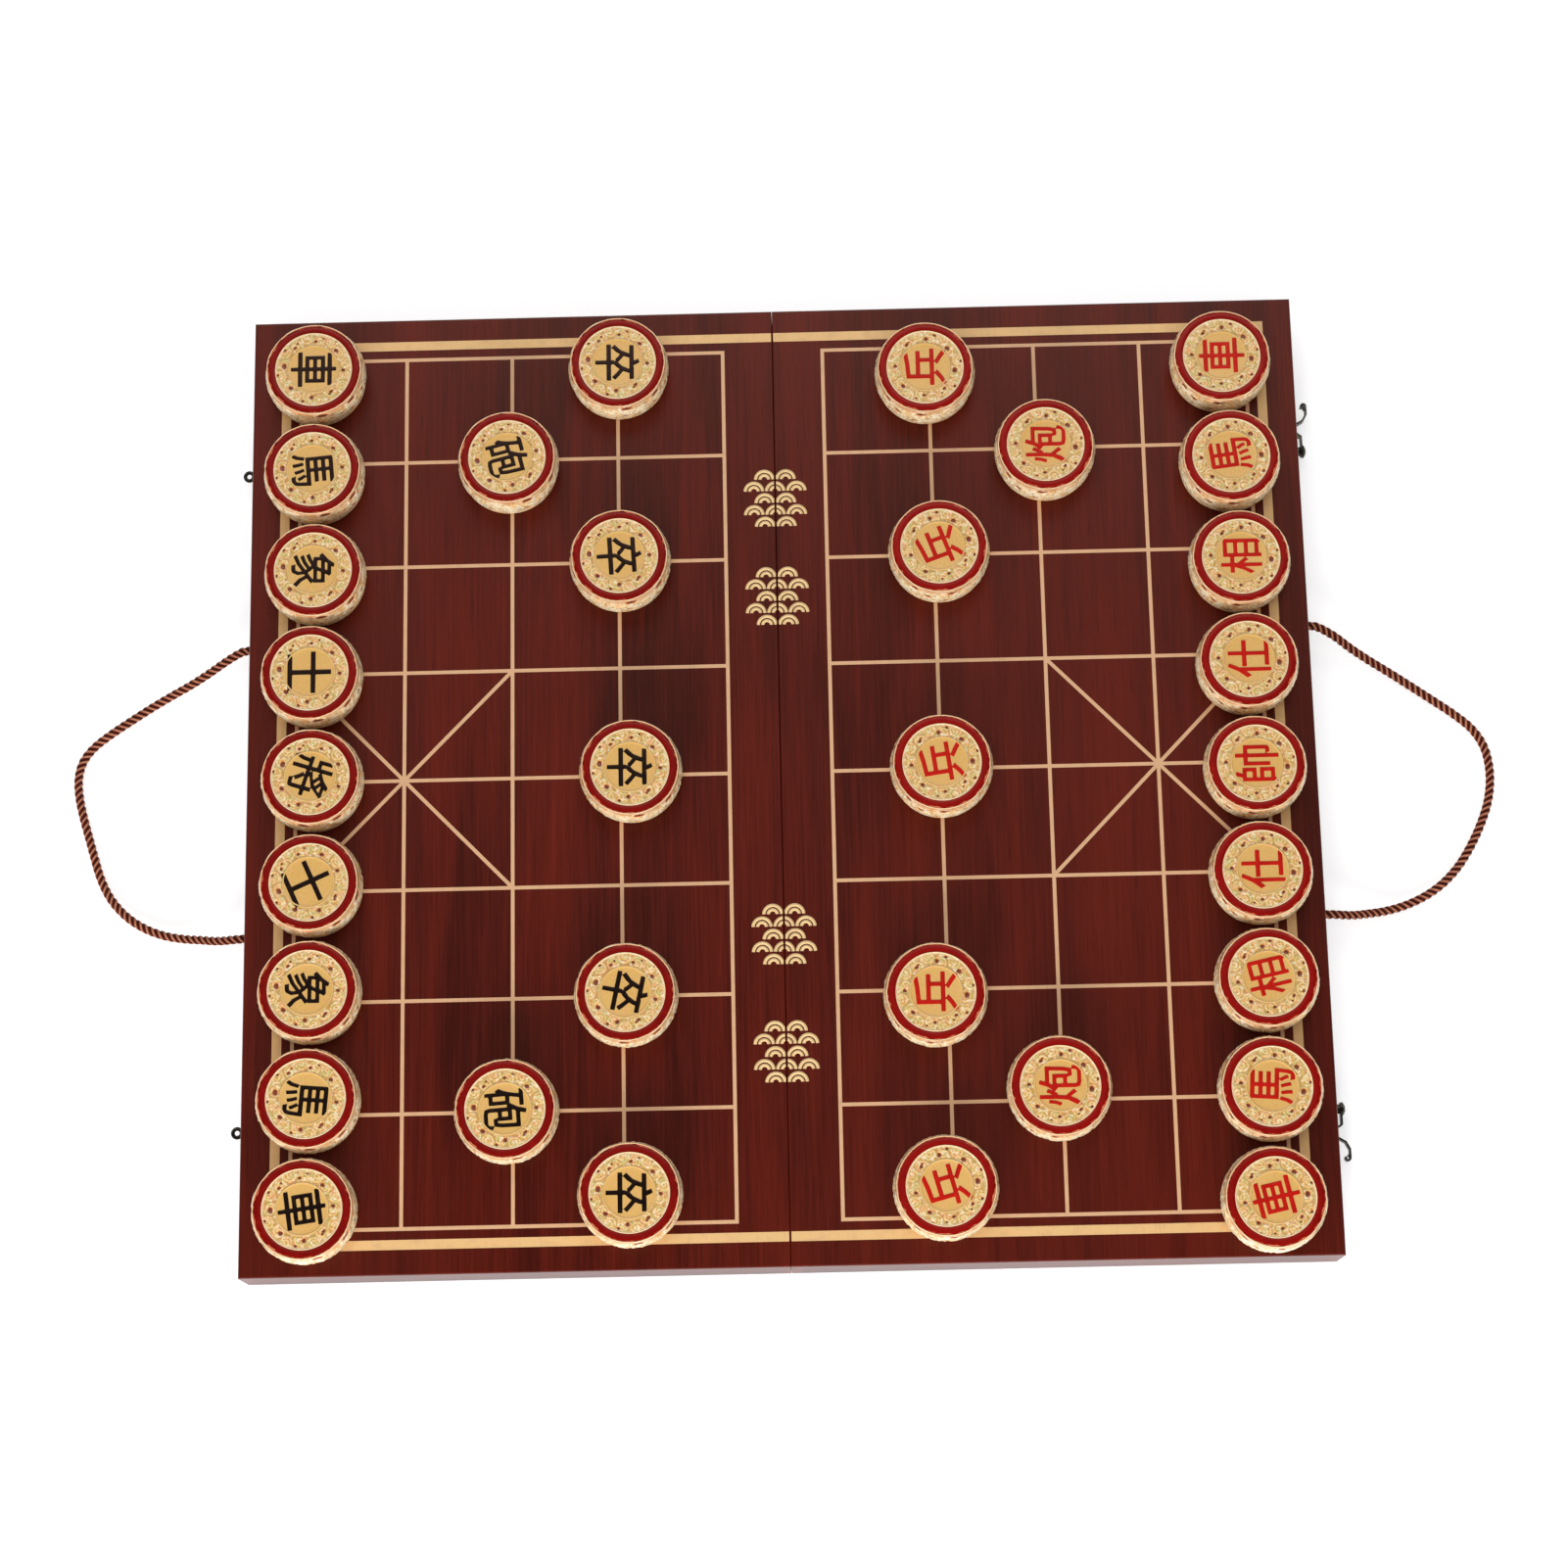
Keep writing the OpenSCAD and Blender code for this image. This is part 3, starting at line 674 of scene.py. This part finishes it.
def carved_face(x, y, scrolls):
    """The scrolled band on a piece's face: its carving, and the stain in its deep cuts."""
    radius = span(x, y)
    cell, across, parity = around(x, y, radius, scrolls)
    out = radius - BAND_MIDDLE + parity * 0.0022 - 0.0011
    lumps = noise(vector(x, y), 760, detail=2)
    ridge, distance = swirl(across, out, 0.0014)
    inside = radius.ramp(0.0119, 0.0124) * radius.ramp(0.0177, 0.0172)
    carving = (ridge * distance.ramp(0.0034, 0.0024) * 0.7 + lumps * 0.9 - 0.35) * inside
    jitter = cell.noise(3)
    size = cell.noise(11) * 0.5 + 0.7
    first = speck(across, out, (jitter - 0.5) * 0.0016 + 0.0016, 0.0001, size * 0.001, size * 0.00078)
    second = speck(across, out, (jitter - 0.5) * -0.0014 - 0.0012, jitter * 0.0022 + 0.0006,
                   size * 0.0006, size * 0.0005)
    stain = (first * parity + second * cell.noise(23).above(0.35)) * inside
    return carving, stain.least(1.0)


def carved_side(x, y, z, scrolls):
    """The scrolls and cuts round a piece's side."""
    cell, across, parity = around(x, y, SIDE_RADIUS, scrolls)
    jitter = cell.noise(5)
    out = z - SIDE_MIDDLE + parity * 0.0036 - 0.0018 + (jitter - 0.5) * 0.0014
    lumps = noise(vector(x, y, z), 420, detail=2).ramp(0.35, 0.62)
    ridge, distance = swirl(across, out, 0.0026)
    carving = (ridge * 0.55 + 0.2 + lumps * 0.25) * distance.ramp(0.0075, 0.0045)
    size = cell.noise(17) * 0.6 + 0.6
    chosen = cell.noise(29).above(0.45)
    cut = speck(across - out * (jitter - 0.5), out, (jitter - 0.5) * 0.003, 0.0036,
                size * 0.0021, size * 0.0007) * chosen
    low = speck(across, out, (jitter - 0.5) * -0.004, -0.0034, size * 0.0014, size * 0.0007)
    return carving, cut.most(low).least(1.0)


def piece_section():
    """A piece's section, from the middle of its face to the middle of its foot, in millimetres."""
    field = [(0, 16.64), (2.5, 16.64), (5, 16.64), (7.5, 16.64), (9.5, 16.65), (10.7, 16.67), (11.15, 16.72)]
    bead = [(11.33, 16.86), (11.5, 16.97), (11.65, 17), (11.8, 16.97), (11.95, 16.84)]
    band = [(12.12 + 0.34 * i, 16.62) for i in range(17)]
    rim = [(17.62, 16.72), (17.7, 16.9), (17.85, 16.99), (18.0, 16.96), (18.08, 16.82), (18.09, 16.5)]
    ring = [(18.11, 16.5), (18.15, 16.62), (18.4, 16.76), (18.9, 16.88), (19.7, 16.93), (20.45, 16.88),
            (21.05, 16.74), (21.45, 16.56), (21.7, 16.38), (21.78, 16.28)]
    edge = [(21.82, 16.28), (21.84, 16.5), (21.93, 16.66), (22.08, 16.7), (22.25, 16.63), (22.42, 16.45),
            (22.55, 16.2)]
    bulge, middle, inset, corner = 26, 8.5, 2.3, 0.9
    heights = [15.9 - 0.6 * i for i in range(26)]
    side = [(math.sqrt(bulge**2 - (z - middle) ** 2) - inset, z) for z in heights if z > corner + 0.05]
    foot = [(21.67 + corner * math.sin(a), corner - corner * math.cos(a)) for a in (1.4, 1.05, 0.7, 0.35, 0)]
    sole = [(20.2, 0), (19.6, 0.35), (14, 0.4), (7, 0.4), (0, 0.4)]
    return field + bead + band + rim + ring + edge + side + foot + sole


def turned_piece_tree(looks, materials):
    """A lathe: bends a grid round the axis, its rows on the section, and carves the face and the side."""
    section = piece_section()
    tree, given = new_geometry_tree("turned_piece", {
        "Segments": looks.segments, "Face Relief": looks.relief, "Side Relief": looks.side_relief,
    })
    rows = len(section)
    grid = made(tree, "GeometryNodeMeshGrid", {
        "Size X": 1.0, "Size Y": 1.0, "Vertices X": given["Segments"] + 1, "Vertices Y": rows,
    })
    here = made(tree, "GeometryNodeInputPosition")
    u, v, _ = parts(here)
    row = ((v + 0.5) * (rows - 1)).maths("ROUND")
    sample = made(tree, "GeometryNodeSampleIndex", {
        "Geometry": given["Geometry"], "Value": here, "Index": row,
    }, data_type="FLOAT_VECTOR")
    radius, height, _ = parts(sample)
    angle = (u + 0.5) * TAU
    place = vector(radius * angle.cosine(), radius * angle.sine(), height)
    turned = then(grid, "GeometryNodeSetPosition", {"Position": place})
    closed = then(turned, "GeometryNodeMergeByDistance", {"Distance": 1e-6})
    kept = store(closed, "local", here, "FLOAT_VECTOR")
    x, y, z = parts(here)
    out = span(x, y)
    carving, stain = carved_face(x, y, looks.scrolls)
    side_carving, side_stain = carved_side(x, y, z, looks.side_scrolls)
    on_side = z.ramp(0.0172, 0.0154) * z.ramp(0.0006, 0.0016) * out.ramp(0.0211, 0.0218)
    on_face = z.above(FACE_FOOT) * out.below(RING_INSIDE)
    lift = (carving - stain * 1.2) * on_face * given["Face Relief"]
    sink = ((side_carving - 1) * 0.8 - side_stain) * on_side * given["Side Relief"]
    outwards = sink / out.most(0.001)
    offset = vector(x * outwards, y * outwards, lift)
    carved = then(kept, "GeometryNodeSetPosition", {"Offset": offset})
    smooth = then(carved, "GeometryNodeSetShadeSmooth")
    ring = out.above(RING_INSIDE) * out.below(RING_OUTSIDE) * z.above(RING_FOOT)
    end_geometry_tree(tree, smooth, [(materials["resin"], True), (materials["dark_ring"], ring)])
    return tree, line_mesh("section", [(r * MM, z * MM, 0) for r, z in section])


def mark_mesh(character, high, wide, looks, material):
    """A rank's mark in plain strokes with soft edges. It reads along +Y, centred over the origin."""
    text = set_up(
        bpy.data.curves.new("mark", "FONT"), body=character, size=0.02, resolution_u=2,
        extrude=0.0001, bevel_depth=looks.stroke, bevel_resolution=1,
    )
    strokes = evaluated(new_object("mark", text))
    bpy.data.curves.remove(text)
    low = [min(v.co[i] for v in strokes.vertices) for i in (0, 1)]
    far = [max(v.co[i] for v in strokes.vertices) for i in (0, 1)]
    scale = Matrix.Diagonal((wide * MM / (far[0] - low[0]), high * MM / (far[1] - low[1]), 1, 1))
    strokes.transform(scale @ Matrix.Translation((-(low[0] + far[0]) / 2, -(low[1] + far[1]) / 2, 0)))
    solid = new_object("mark", strokes)
    set_up(solid.modifiers.new("fused", "REMESH"), mode="VOXEL", voxel_size=0.0002)
    set_up(solid.modifiers.new("eased", "SMOOTH"), factor=0.5, iterations=3)
    set_up(solid.modifiers.new("fewer", "DECIMATE"), ratio=0.3)
    mesh = evaluated(solid)
    mesh.polygons.foreach_set("use_smooth", [True] * len(mesh.polygons))
    mesh.materials.clear()
    mesh.materials.append(material)
    return mesh


# Ropes


def route_points(route, side):
    """A handle's route in the frame. Both ends run on through their holes to the inside of the wall."""
    rows = [route[0]] + route + [route[-1]]
    points = []
    for i, (out, way, drop) in enumerate(rows):
        through = WALL if i in (0, len(rows) - 1) else 0
        points.append(Vector((
            side * (HALF_LENGTH + out / 100 * ROPE_REACH - through),
            ROPE_OFFSET * (1 - way / 50),
            ROPE_EXIT_HEIGHT + drop / 100 * (ROPE_LIE_HEIGHT - ROPE_EXIT_HEIGHT),
        )))
    return points


def smooth_path(points, step):
    """Points close together on a smooth curve through the given ones, once their unevenness is eased."""
    points = [p.copy() for p in points]
    for share in (0.5, -0.52, 0.5, -0.52):
        moves = [((a + c) / 2 - b) * share for a, b, c in zip(points[3:], points[4:-4], points[5:])]
        for point, move in zip(points[4:-4], moves):
            point.x += move.x
            point.y += move.y
    ends = [2 * points[0] - points[1]] + points + [2 * points[-1] - points[-2]]
    path = []
    for before, start, end, after in zip(ends, ends[1:], ends[2:], ends[3:]):
        count = max(2, round((end - start).length / step))
        for i in range(count):
            t = i / count
            bend = 2 * before - 5 * start + 4 * end - after
            twist = 3 * start - before - 3 * end + after
            path.append(0.5 * (2 * start + (end - before) * t + bend * t**2 + twist * t**3))
    return path + [points[-1]]


def laid_rope_tree(looks, material):
    """Twists strands about a path."""
    tree, given = new_geometry_tree("laid_rope", {
        "Strands": looks.strands, "Lay": looks.lay, "Step": looks.step, "Rope Radius": ROPE_RADIUS,
    })
    strands = given["Strands"]
    rope = given["Rope Radius"]
    strand = rope * 0.46
    helix = rope - strand
    curve = made(tree, "GeometryNodeMeshToCurve", {"Mesh": given["Geometry"]})
    inputs = {"Curve": curve, "Length": given["Step"]}
    even = made(tree, "GeometryNodeResampleCurve", inputs, mode="LENGTH")
    level = made(tree, "GeometryNodeSetCurveNormal", {"Curve": even}, mode="Z_UP")
    inputs = {"Geometry": level, "Amount": strands}
    copies = add(tree, "GeometryNodeDuplicateElements", inputs, domain="SPLINE")
    spline = add(tree, "GeometryNodeSplineParameter").outputs
    along = Field(spline["Length"])
    index = Field(copies.outputs["Duplicate Index"])
    angle = (along / given["Lay"] + index / strands) * TAU
    normal = made(tree, "GeometryNodeInputNormal")
    tangent = made(tree, "GeometryNodeInputTangent")
    binormal = made(tree, "ShaderNodeVectorMath", {0: tangent, 1: normal}, operation="CROSS_PRODUCT")

    def scaled(vector, amount):
        return made(tree, "ShaderNodeVectorMath", {0: vector, "Scale": amount}, operation="SCALE")

    offset = made(tree, "ShaderNodeVectorMath", {
        0: scaled(normal, helix * angle.cosine()), 1: scaled(binormal, helix * angle.sine()),
    })
    here = made(tree, "GeometryNodeInputPosition")
    marked = store(copies.outputs[0], "rope_middle", here, "FLOAT_VECTOR")
    twisted = then(marked, "GeometryNodeSetPosition", {"Offset": offset})
    measured = store(twisted, "rope_along", along)
    circle = made(tree, "GeometryNodeCurvePrimitiveCircle", {"Resolution": 9, "Radius": strand})
    turned = store(circle, "rope_turn", spline["Factor"])
    mesh = swept(measured, turned)

    def kept(name, kind="FLOAT"):
        return made(tree, "GeometryNodeInputNamedAttribute", {"Name": name}, data_type=kind)

    away = add(tree, "ShaderNodeVectorMath", {
        0: here, 1: kept("rope_middle", "FLOAT_VECTOR"),
    }, operation="DISTANCE").outputs["Value"]
    lay = vector(Field(kept("rope_along")), kept("rope_turn"), Field(away) / rope)
    stored = store(mesh, "lay", lay, "FLOAT_VECTOR")
    for name in ("rope_middle", "rope_along", "rope_turn"):
        stored = then(stored, "GeometryNodeRemoveAttribute", {"Name": name})
    smooth = then(stored, "GeometryNodeSetShadeSmooth")
    end_geometry_tree(tree, smooth, [(material, True)])
    return tree


def knot_path(centre, side):
    """A stopper knot's closed line, a trefoil drawn tight about the rope's end."""
    loop = KNOT_RADIUS - ROPE_RADIUS
    return [centre + loop * Vector((
        side * 0.42 * math.sin(3 * t),
        (math.sin(t) + 2 * math.sin(2 * t)) / 3,
        (math.cos(t) - 2 * math.cos(2 * t)) / 3,
    )) for t in (TAU * (i % 60) / 60 for i in range(61))]


# Operators


class XIANGQI_OT_stage(bpy.types.Operator):
    """Set up the camera, the floor and the studio light"""

    bl_idname = "xiangqi.stage"
    bl_label = "Stage"

    def execute(self, context):
        looks = context.scene.xiangqi_stage
        scene = context.scene
        scene.view_settings.view_transform = "Standard"
        lens = set_up(bpy.data.cameras.new("photo_camera"), lens=looks.lens, sensor_width=36)
        camera = new_object("photo_camera", lens)
        scene.camera = set_up(camera, location=CAMERA_PLACE, rotation_euler=CAMERA_TURN)

        for name, power, place, size in (
            ("front_light", looks.key, (-0.2, -1.5, 0.66), (1.4, 0.6)),
            ("top_light", looks.top, (-0.1, 0.1, 1.75), (1.4, 1.4)),
            ("back_light", looks.back, (0.1, 1.15, 1.25), (1.6, 0.7)),
        ):
            lamp = bpy.data.lights.new(name, "AREA")
            set_up(lamp, shape="RECTANGLE", size=size[0], size_y=size[1], energy=power)
            turn = (-Vector(place)).to_track_quat("-Z", "Y").to_euler()
            in_gloss = name == "back_light"
            set_up(new_object(name, lamp), visible_glossy=in_gloss, location=place, rotation_euler=turn)

        world = bpy.data.worlds.new("studio")
        scene.world = world
        world.use_nodes = True
        tree = world.node_tree
        tree.nodes.clear()
        light = made(tree, "ShaderNodeBackground", {"Color": (1, 1, 1, 1), "Strength": looks.room})
        _, back, height = parts(add(tree, "ShaderNodeTexCoord").outputs["Generated"])
        bright = height.ramp(0.65, 0.2) * 0.55 + back.ramp(0.26, 0.42) * height.ramp(0.5, 0.75) * 1.4
        room = blend(bright, (0.01, 0.01, 0.01), (1, 1, 1))
        camera = Field(add(tree, "ShaderNodeLightPath").outputs["Is Camera Ray"])
        shown = blend(camera, room, (1, 1, 1))
        seen = made(tree, "ShaderNodeBackground", {"Color": shown, "Strength": 1.0})
        mixed = made(tree, "ShaderNodeMixShader", {0: self.seen_directly(tree), 1: light, 2: seen})
        add(tree, "ShaderNodeOutputWorld", {"Surface": mixed})

        material, tree = new_material("studio_floor")
        pale = blend(grain(tree, 4), (0.80, 0.80, 0.80), (0.84, 0.84, 0.84))
        matt = made(tree, "ShaderNodeBsdfDiffuse", {"Color": pale})
        glow = made(tree, "ShaderNodeEmission", {"Color": (1, 1, 1, 1), "Strength": 0.5})
        lit = made(tree, "ShaderNodeAddShader", {0: matt, 1: glow})
        near = made(tree, "ShaderNodeMixShader", {0: self.seen_directly(tree), 1: matt, 2: lit})
        x, y, _ = parts(object_space(tree))
        away = span(x, y).ramp(0.9, 1.5) * self.seen_directly(tree)
        clear = made(tree, "ShaderNodeBsdfTransparent")
        faded = made(tree, "ShaderNodeMixShader", {0: away, 1: near, 2: clear})
        add(tree, "ShaderNodeOutputMaterial", {"Surface": faded})
        corners = [(x * FLOOR_HALF, y * FLOOR_HALF, 0) for x, y in ((-1, -1), (1, -1), (1, 1), (-1, 1))]
        floor = mesh_from("studio_floor", corners, faces=[(0, 1, 2, 3)])
        floor.materials.append(material)
        new_object("studio_floor", floor)
        return {"FINISHED"}

    def seen_directly(self, tree):
        """1 for the camera, in gloss and through glass, else 0."""
        path = add(tree, "ShaderNodeLightPath").outputs
        camera = Field(path["Is Camera Ray"])
        return camera.most(path["Is Glossy Ray"]).most(path["Is Transmission Ray"])


class XIANGQI_OT_ropes(bpy.types.Operator):
    """Twist the two rope handles and tie their stopper knots"""

    bl_idname = "xiangqi.ropes"
    bl_label = "Rope Handles"

    def execute(self, context):
        looks = context.scene.xiangqi_rope
        material = fibre(looks)
        tree = laid_rope_tree(looks, material)
        for side, word, route in ((-1, "left", LEFT_ROUTE), (1, "right", RIGHT_ROUTE)):
            body = word + "_half"
            path = smooth_path(route_points(route, side), ROPE_PATH_STEP)
            mesh = grow(word + "_rope_handle", line_mesh("path", path), tree)
            rope = piece(mesh, body, "rope", word + "_rope")
            knots = bmesh.new()
            for offset in (-ROPE_OFFSET, ROPE_OFFSET):
                inside = side * (HALF_LENGTH - WALL - 0.62 * KNOT_RADIUS)
                centre = Vector((inside, offset, ROPE_EXIT_HEIGHT))
                line = line_mesh("path", knot_path(centre, side))
                knots.from_mesh(grow("knot", line, tree, {"Rope Radius": KNOT_ROPE_RADIUS}))
            mesh = plain_mesh(word + "_stopper_knots", knots, material)
            pair = piece(mesh, body, "rope", word + "_knots")
        return {"FINISHED"}


class XIANGQI_OT_woodwork(bpy.types.Operator):
    """Stain and lacquer the panels and walls"""

    bl_idname = "xiangqi.woodwork"
    bl_label = "Woodwork"

    def execute(self, context):
        looks = context.scene.xiangqi_board
        along_x = wood(looks, "lacquered_wood_x", 0)
        along_y = wood(looks, "lacquered_wood_y", 1)
        for side in ("left", "right"):
            for part in ("panel", "end_wall", "seam_wall"):
                dress(f"{side}_{part}", along_y)
            for part in ("front_wall", "back_wall"):
                dress(f"{side}_{part}", along_x)
        return {"FINISHED"}


class XIANGQI_OT_lines(bpy.types.Operator):
    """Finish the inlaid grid and border, and lay the river's wave marks"""

    bl_idname = "xiangqi.lines"
    bl_label = "Inlaid Lines"

    def execute(self, context):
        looks = context.scene.xiangqi_board
        material = inlaid_line(looks)
        for side in ("left", "right"):
            dress(f"{side}_inlay", material)
        tree = self.waves_tree(looks, material)
        rise = 1.16 * looks.wave_radius
        centres = [
            ((column - (count - 1) / 2) * 2 * looks.wave_radius, middle + (1.6 - row) * rise, TOP)
            for middle in WAVE_CLUSTERS for row, count in enumerate(WAVE_ROWS) for column in range(count)
        ]
        waves = grow("waves", mesh_from("wave_places", centres), tree)
        for side, word in ((-1, "left"), (1, "right")):
            half = bmesh.new()
            half.from_mesh(waves)
            everything = half.verts[:] + half.edges[:] + half.faces[:]
            cut = bmesh.ops.bisect_plane(half, geom=everything, plane_co=(side * SEAM_EDGE, 0, 0),
                                         plane_no=(-side, 0, 0), clear_outer=True)
            edges = [e for e in cut["geom_cut"] if isinstance(e, bmesh.types.BMEdge)]
            bmesh.ops.holes_fill(half, edges=edges)
            mesh = plain_mesh(word + "_river_waves", half, material)
            piece(mesh, word + "_half", "gold_line")
        return {"FINISHED"}

    def waves_tree(self, looks, material):
        """Sets a wave of arcs, one inside another, on every point."""
        tree, given = new_geometry_tree("river_waves", {
            "Radius": looks.wave_radius, "Line Width": looks.wave_line, "Arcs": looks.wave_arcs,
        })
        width = given["Line Width"]
        arc = made(tree, "GeometryNodeCurveArc", {
            "Resolution": 20, "Radius": 1.0, "Start Angle": 0.0, "Sweep Angle": math.pi,
        })
        line = made(tree, "GeometryNodeMeshLine", {"Count": given["Arcs"], "Offset": (0, 0, 0)})
        number = Field(made(tree, "GeometryNodeInputIndex"))
        size = (given["Radius"] - width * 0.6) * (number * -0.5 + 1)
        inputs = {"Points": line, "Instance": arc, "Scale": size}
        nested = made(tree, "GeometryNodeInstanceOnPoints", inputs)
        arcs = then(nested, "GeometryNodeRealizeInstances")
        level = made(tree, "GeometryNodeSetCurveNormal", {"Curve": arcs}, mode="Z_UP")
        inputs = {"Width": width, "Height": WAVE_THICKNESS}
        strip = made(tree, "GeometryNodeCurvePrimitiveQuadrilateral", inputs)
        inputs = {"Points": given["Geometry"], "Instance": swept(level, strip)}
        laid = made(tree, "GeometryNodeInstanceOnPoints", inputs)
        end_geometry_tree(tree, laid, [(material, True)])
        return tree


class XIANGQI_OT_felt(bpy.types.Operator):
    """Line the trays with felt"""

    bl_idname = "xiangqi.felt"
    bl_label = "Felt Linings"

    def execute(self, context):
        material = felt_cloth(context.scene.xiangqi_board)
        for word in ("left", "right"):
            low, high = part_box(word + "_felt")
            cloth = bmesh.new()
            bmesh.ops.create_grid(cloth, x_segments=46, y_segments=88, size=0.5)
            wide, deep, _ = high - low
            trim, rest, lump = 0.0002, 0.00008, 0.00006
            for v in cloth.verts:
                x, y = v.co.x * (wide - 2 * trim), v.co.y * (deep - 2 * trim)
                lumps = math.sin(310 * x + 2.1 * math.sin(170 * y))
                lumps *= math.sin(270 * y + 1.7 * math.sin(230 * x))
                v.co = Vector(((low.x + high.x) / 2 + x, (low.y + high.y) / 2 + y,
                               low.z + rest + lump * lumps))
            back = bmesh.ops.extrude_face_region(cloth, geom=cloth.faces[:])
            for v in back["geom"]:
                if isinstance(v, bmesh.types.BMVert):
                    v.co.z = high.z
            bmesh.ops.recalc_face_normals(cloth, faces=cloth.faces)
            mesh = plain_mesh(word + "_felt_lining", cloth, material)
            felt = piece(mesh, word + "_half", "felt", word + "_felt")
        return {"FINISHED"}


class XIANGQI_OT_hardware(bpy.types.Operator):
    """Finish the latches and hinges"""

    bl_idname = "xiangqi.hardware"
    bl_label = "Hardware"

    def execute(self, context):
        looks = context.scene.xiangqi_metal
        bronze = worn_metal("latch_bronze", looks.bronze, looks.tarnish, 0.32)
        steel = worn_metal("hinge_steel", looks.brass, shaded(looks.brass, 0.5), 0.3)
        for node in ("screw_eyes", "hook_pivots", "back_hook", "front_hook"):
            dress(node, bronze)
        for node in ("left_hinge_leaves", "right_hinge_leaves", "hinge_pins", "left_hinge_screws",
                     "right_hinge_screws"):
            dress(node, steel)
        return {"FINISHED"}


class XIANGQI_OT_game_pieces(bpy.types.Operator):
    """Turn and carve the thirty-two game pieces"""

    bl_idname = "xiangqi.game_pieces"
    bl_label = "Game Pieces"

    def execute(self, context):
        looks = context.scene.xiangqi_piece
        finishes = {
            "resin": resin(looks),
            "dark_ring": ring_enamel("dark_ring", looks),
            "red_ring": ring_enamel("red_ring", looks),
            "dark": enamel("dark_mark", looks.dark_mark, linear(60, 42, 30)),
            "red": enamel("red_mark", looks.red_mark, linear(210, 58, 34)),
        }
        tree, section = turned_piece_tree(looks, finishes)
        drum = grow("turned_piece", section, tree)
        marks = {}
        names = sorted(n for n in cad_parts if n.startswith(("dark_", "red_")))
        for name in names:
            army = name.split("_")[0]
            rank = "_".join(name.split("_")[:2])
            if rank not in marks:
                marks[rank] = mark_mesh(*MARKS[rank], looks, finishes[army])
            low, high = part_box(name)
            square = -90 if army == "dark" else 90
            turn = Matrix.Rotation(math.radians(square + TURNS.get(name, 0)), 4, "Z")
            foot = Matrix.Translation(((low.x + high.x) / 2, (low.y + high.y) / 2, low.z))
            body = drum.copy()
            body.transform(foot @ turn)
            mark = marks[rank].copy()
            mark.transform(foot @ Matrix.Translation((0, 0, MARK_FOOT)) @ turn)
            for face in mark.polygons:
                face.material_index = 2
            both = bmesh.new()
            both.from_mesh(body)
            both.from_mesh(mark)
            both.to_mesh(body)
            both.free()
            body.materials[1] = finishes[army + "_ring"]
            body.materials.append(finishes[army])
            body.name = name + "_carved"
            piece(body, name, "game_piece", name)
        return {"FINISHED"}


class XIANGQI_PT_panel(bpy.types.Panel):
    """Lists what can be made"""

    bl_label = "Xiangqi Box"
    bl_idname = "XIANGQI_PT_panel"
    bl_space_type = "VIEW_3D"
    bl_region_type = "UI"
    bl_category = "Xiangqi"

    def draw(self, context):
        for operator in OPERATORS:
            self.layout.operator(operator.bl_idname)
        for name in LOOKS:
            group = getattr(context.scene, name)
            box = self.layout.box()
            for key in group.bl_rna.properties.keys():
                if key not in ("rna_type", "name"):
                    box.prop(group, key)


LOOKS = {
    "xiangqi_board": BoardLooks,
    "xiangqi_piece": PieceLooks,
    "xiangqi_rope": RopeLooks,
    "xiangqi_metal": MetalLooks,
    "xiangqi_stage": StageLooks,
}
OPERATORS = (
    XIANGQI_OT_stage,
    XIANGQI_OT_ropes,
    XIANGQI_OT_woodwork,
    XIANGQI_OT_lines,
    XIANGQI_OT_felt,
    XIANGQI_OT_hardware,
    XIANGQI_OT_game_pieces,
)


def register():
    for item in (*LOOKS.values(), *OPERATORS, XIANGQI_PT_panel):
        bpy.utils.register_class(item)
    for name, group in LOOKS.items():
        setattr(bpy.types.Scene, name, PointerProperty(type=group))


def unregister():
    for name in LOOKS:
        delattr(bpy.types.Scene, name)
    for item in (XIANGQI_PT_panel, *reversed(OPERATORS), *reversed(LOOKS.values())):
        bpy.utils.unregister_class(item)


def main():
    register()
    bpy.ops.xiangqi.stage()
    bpy.ops.xiangqi.ropes()
    bpy.ops.xiangqi.woodwork()
    bpy.ops.xiangqi.lines()
    bpy.ops.xiangqi.felt()
    bpy.ops.xiangqi.hardware()
    bpy.ops.xiangqi.game_pieces()


if __name__ == "__main__":
    main()
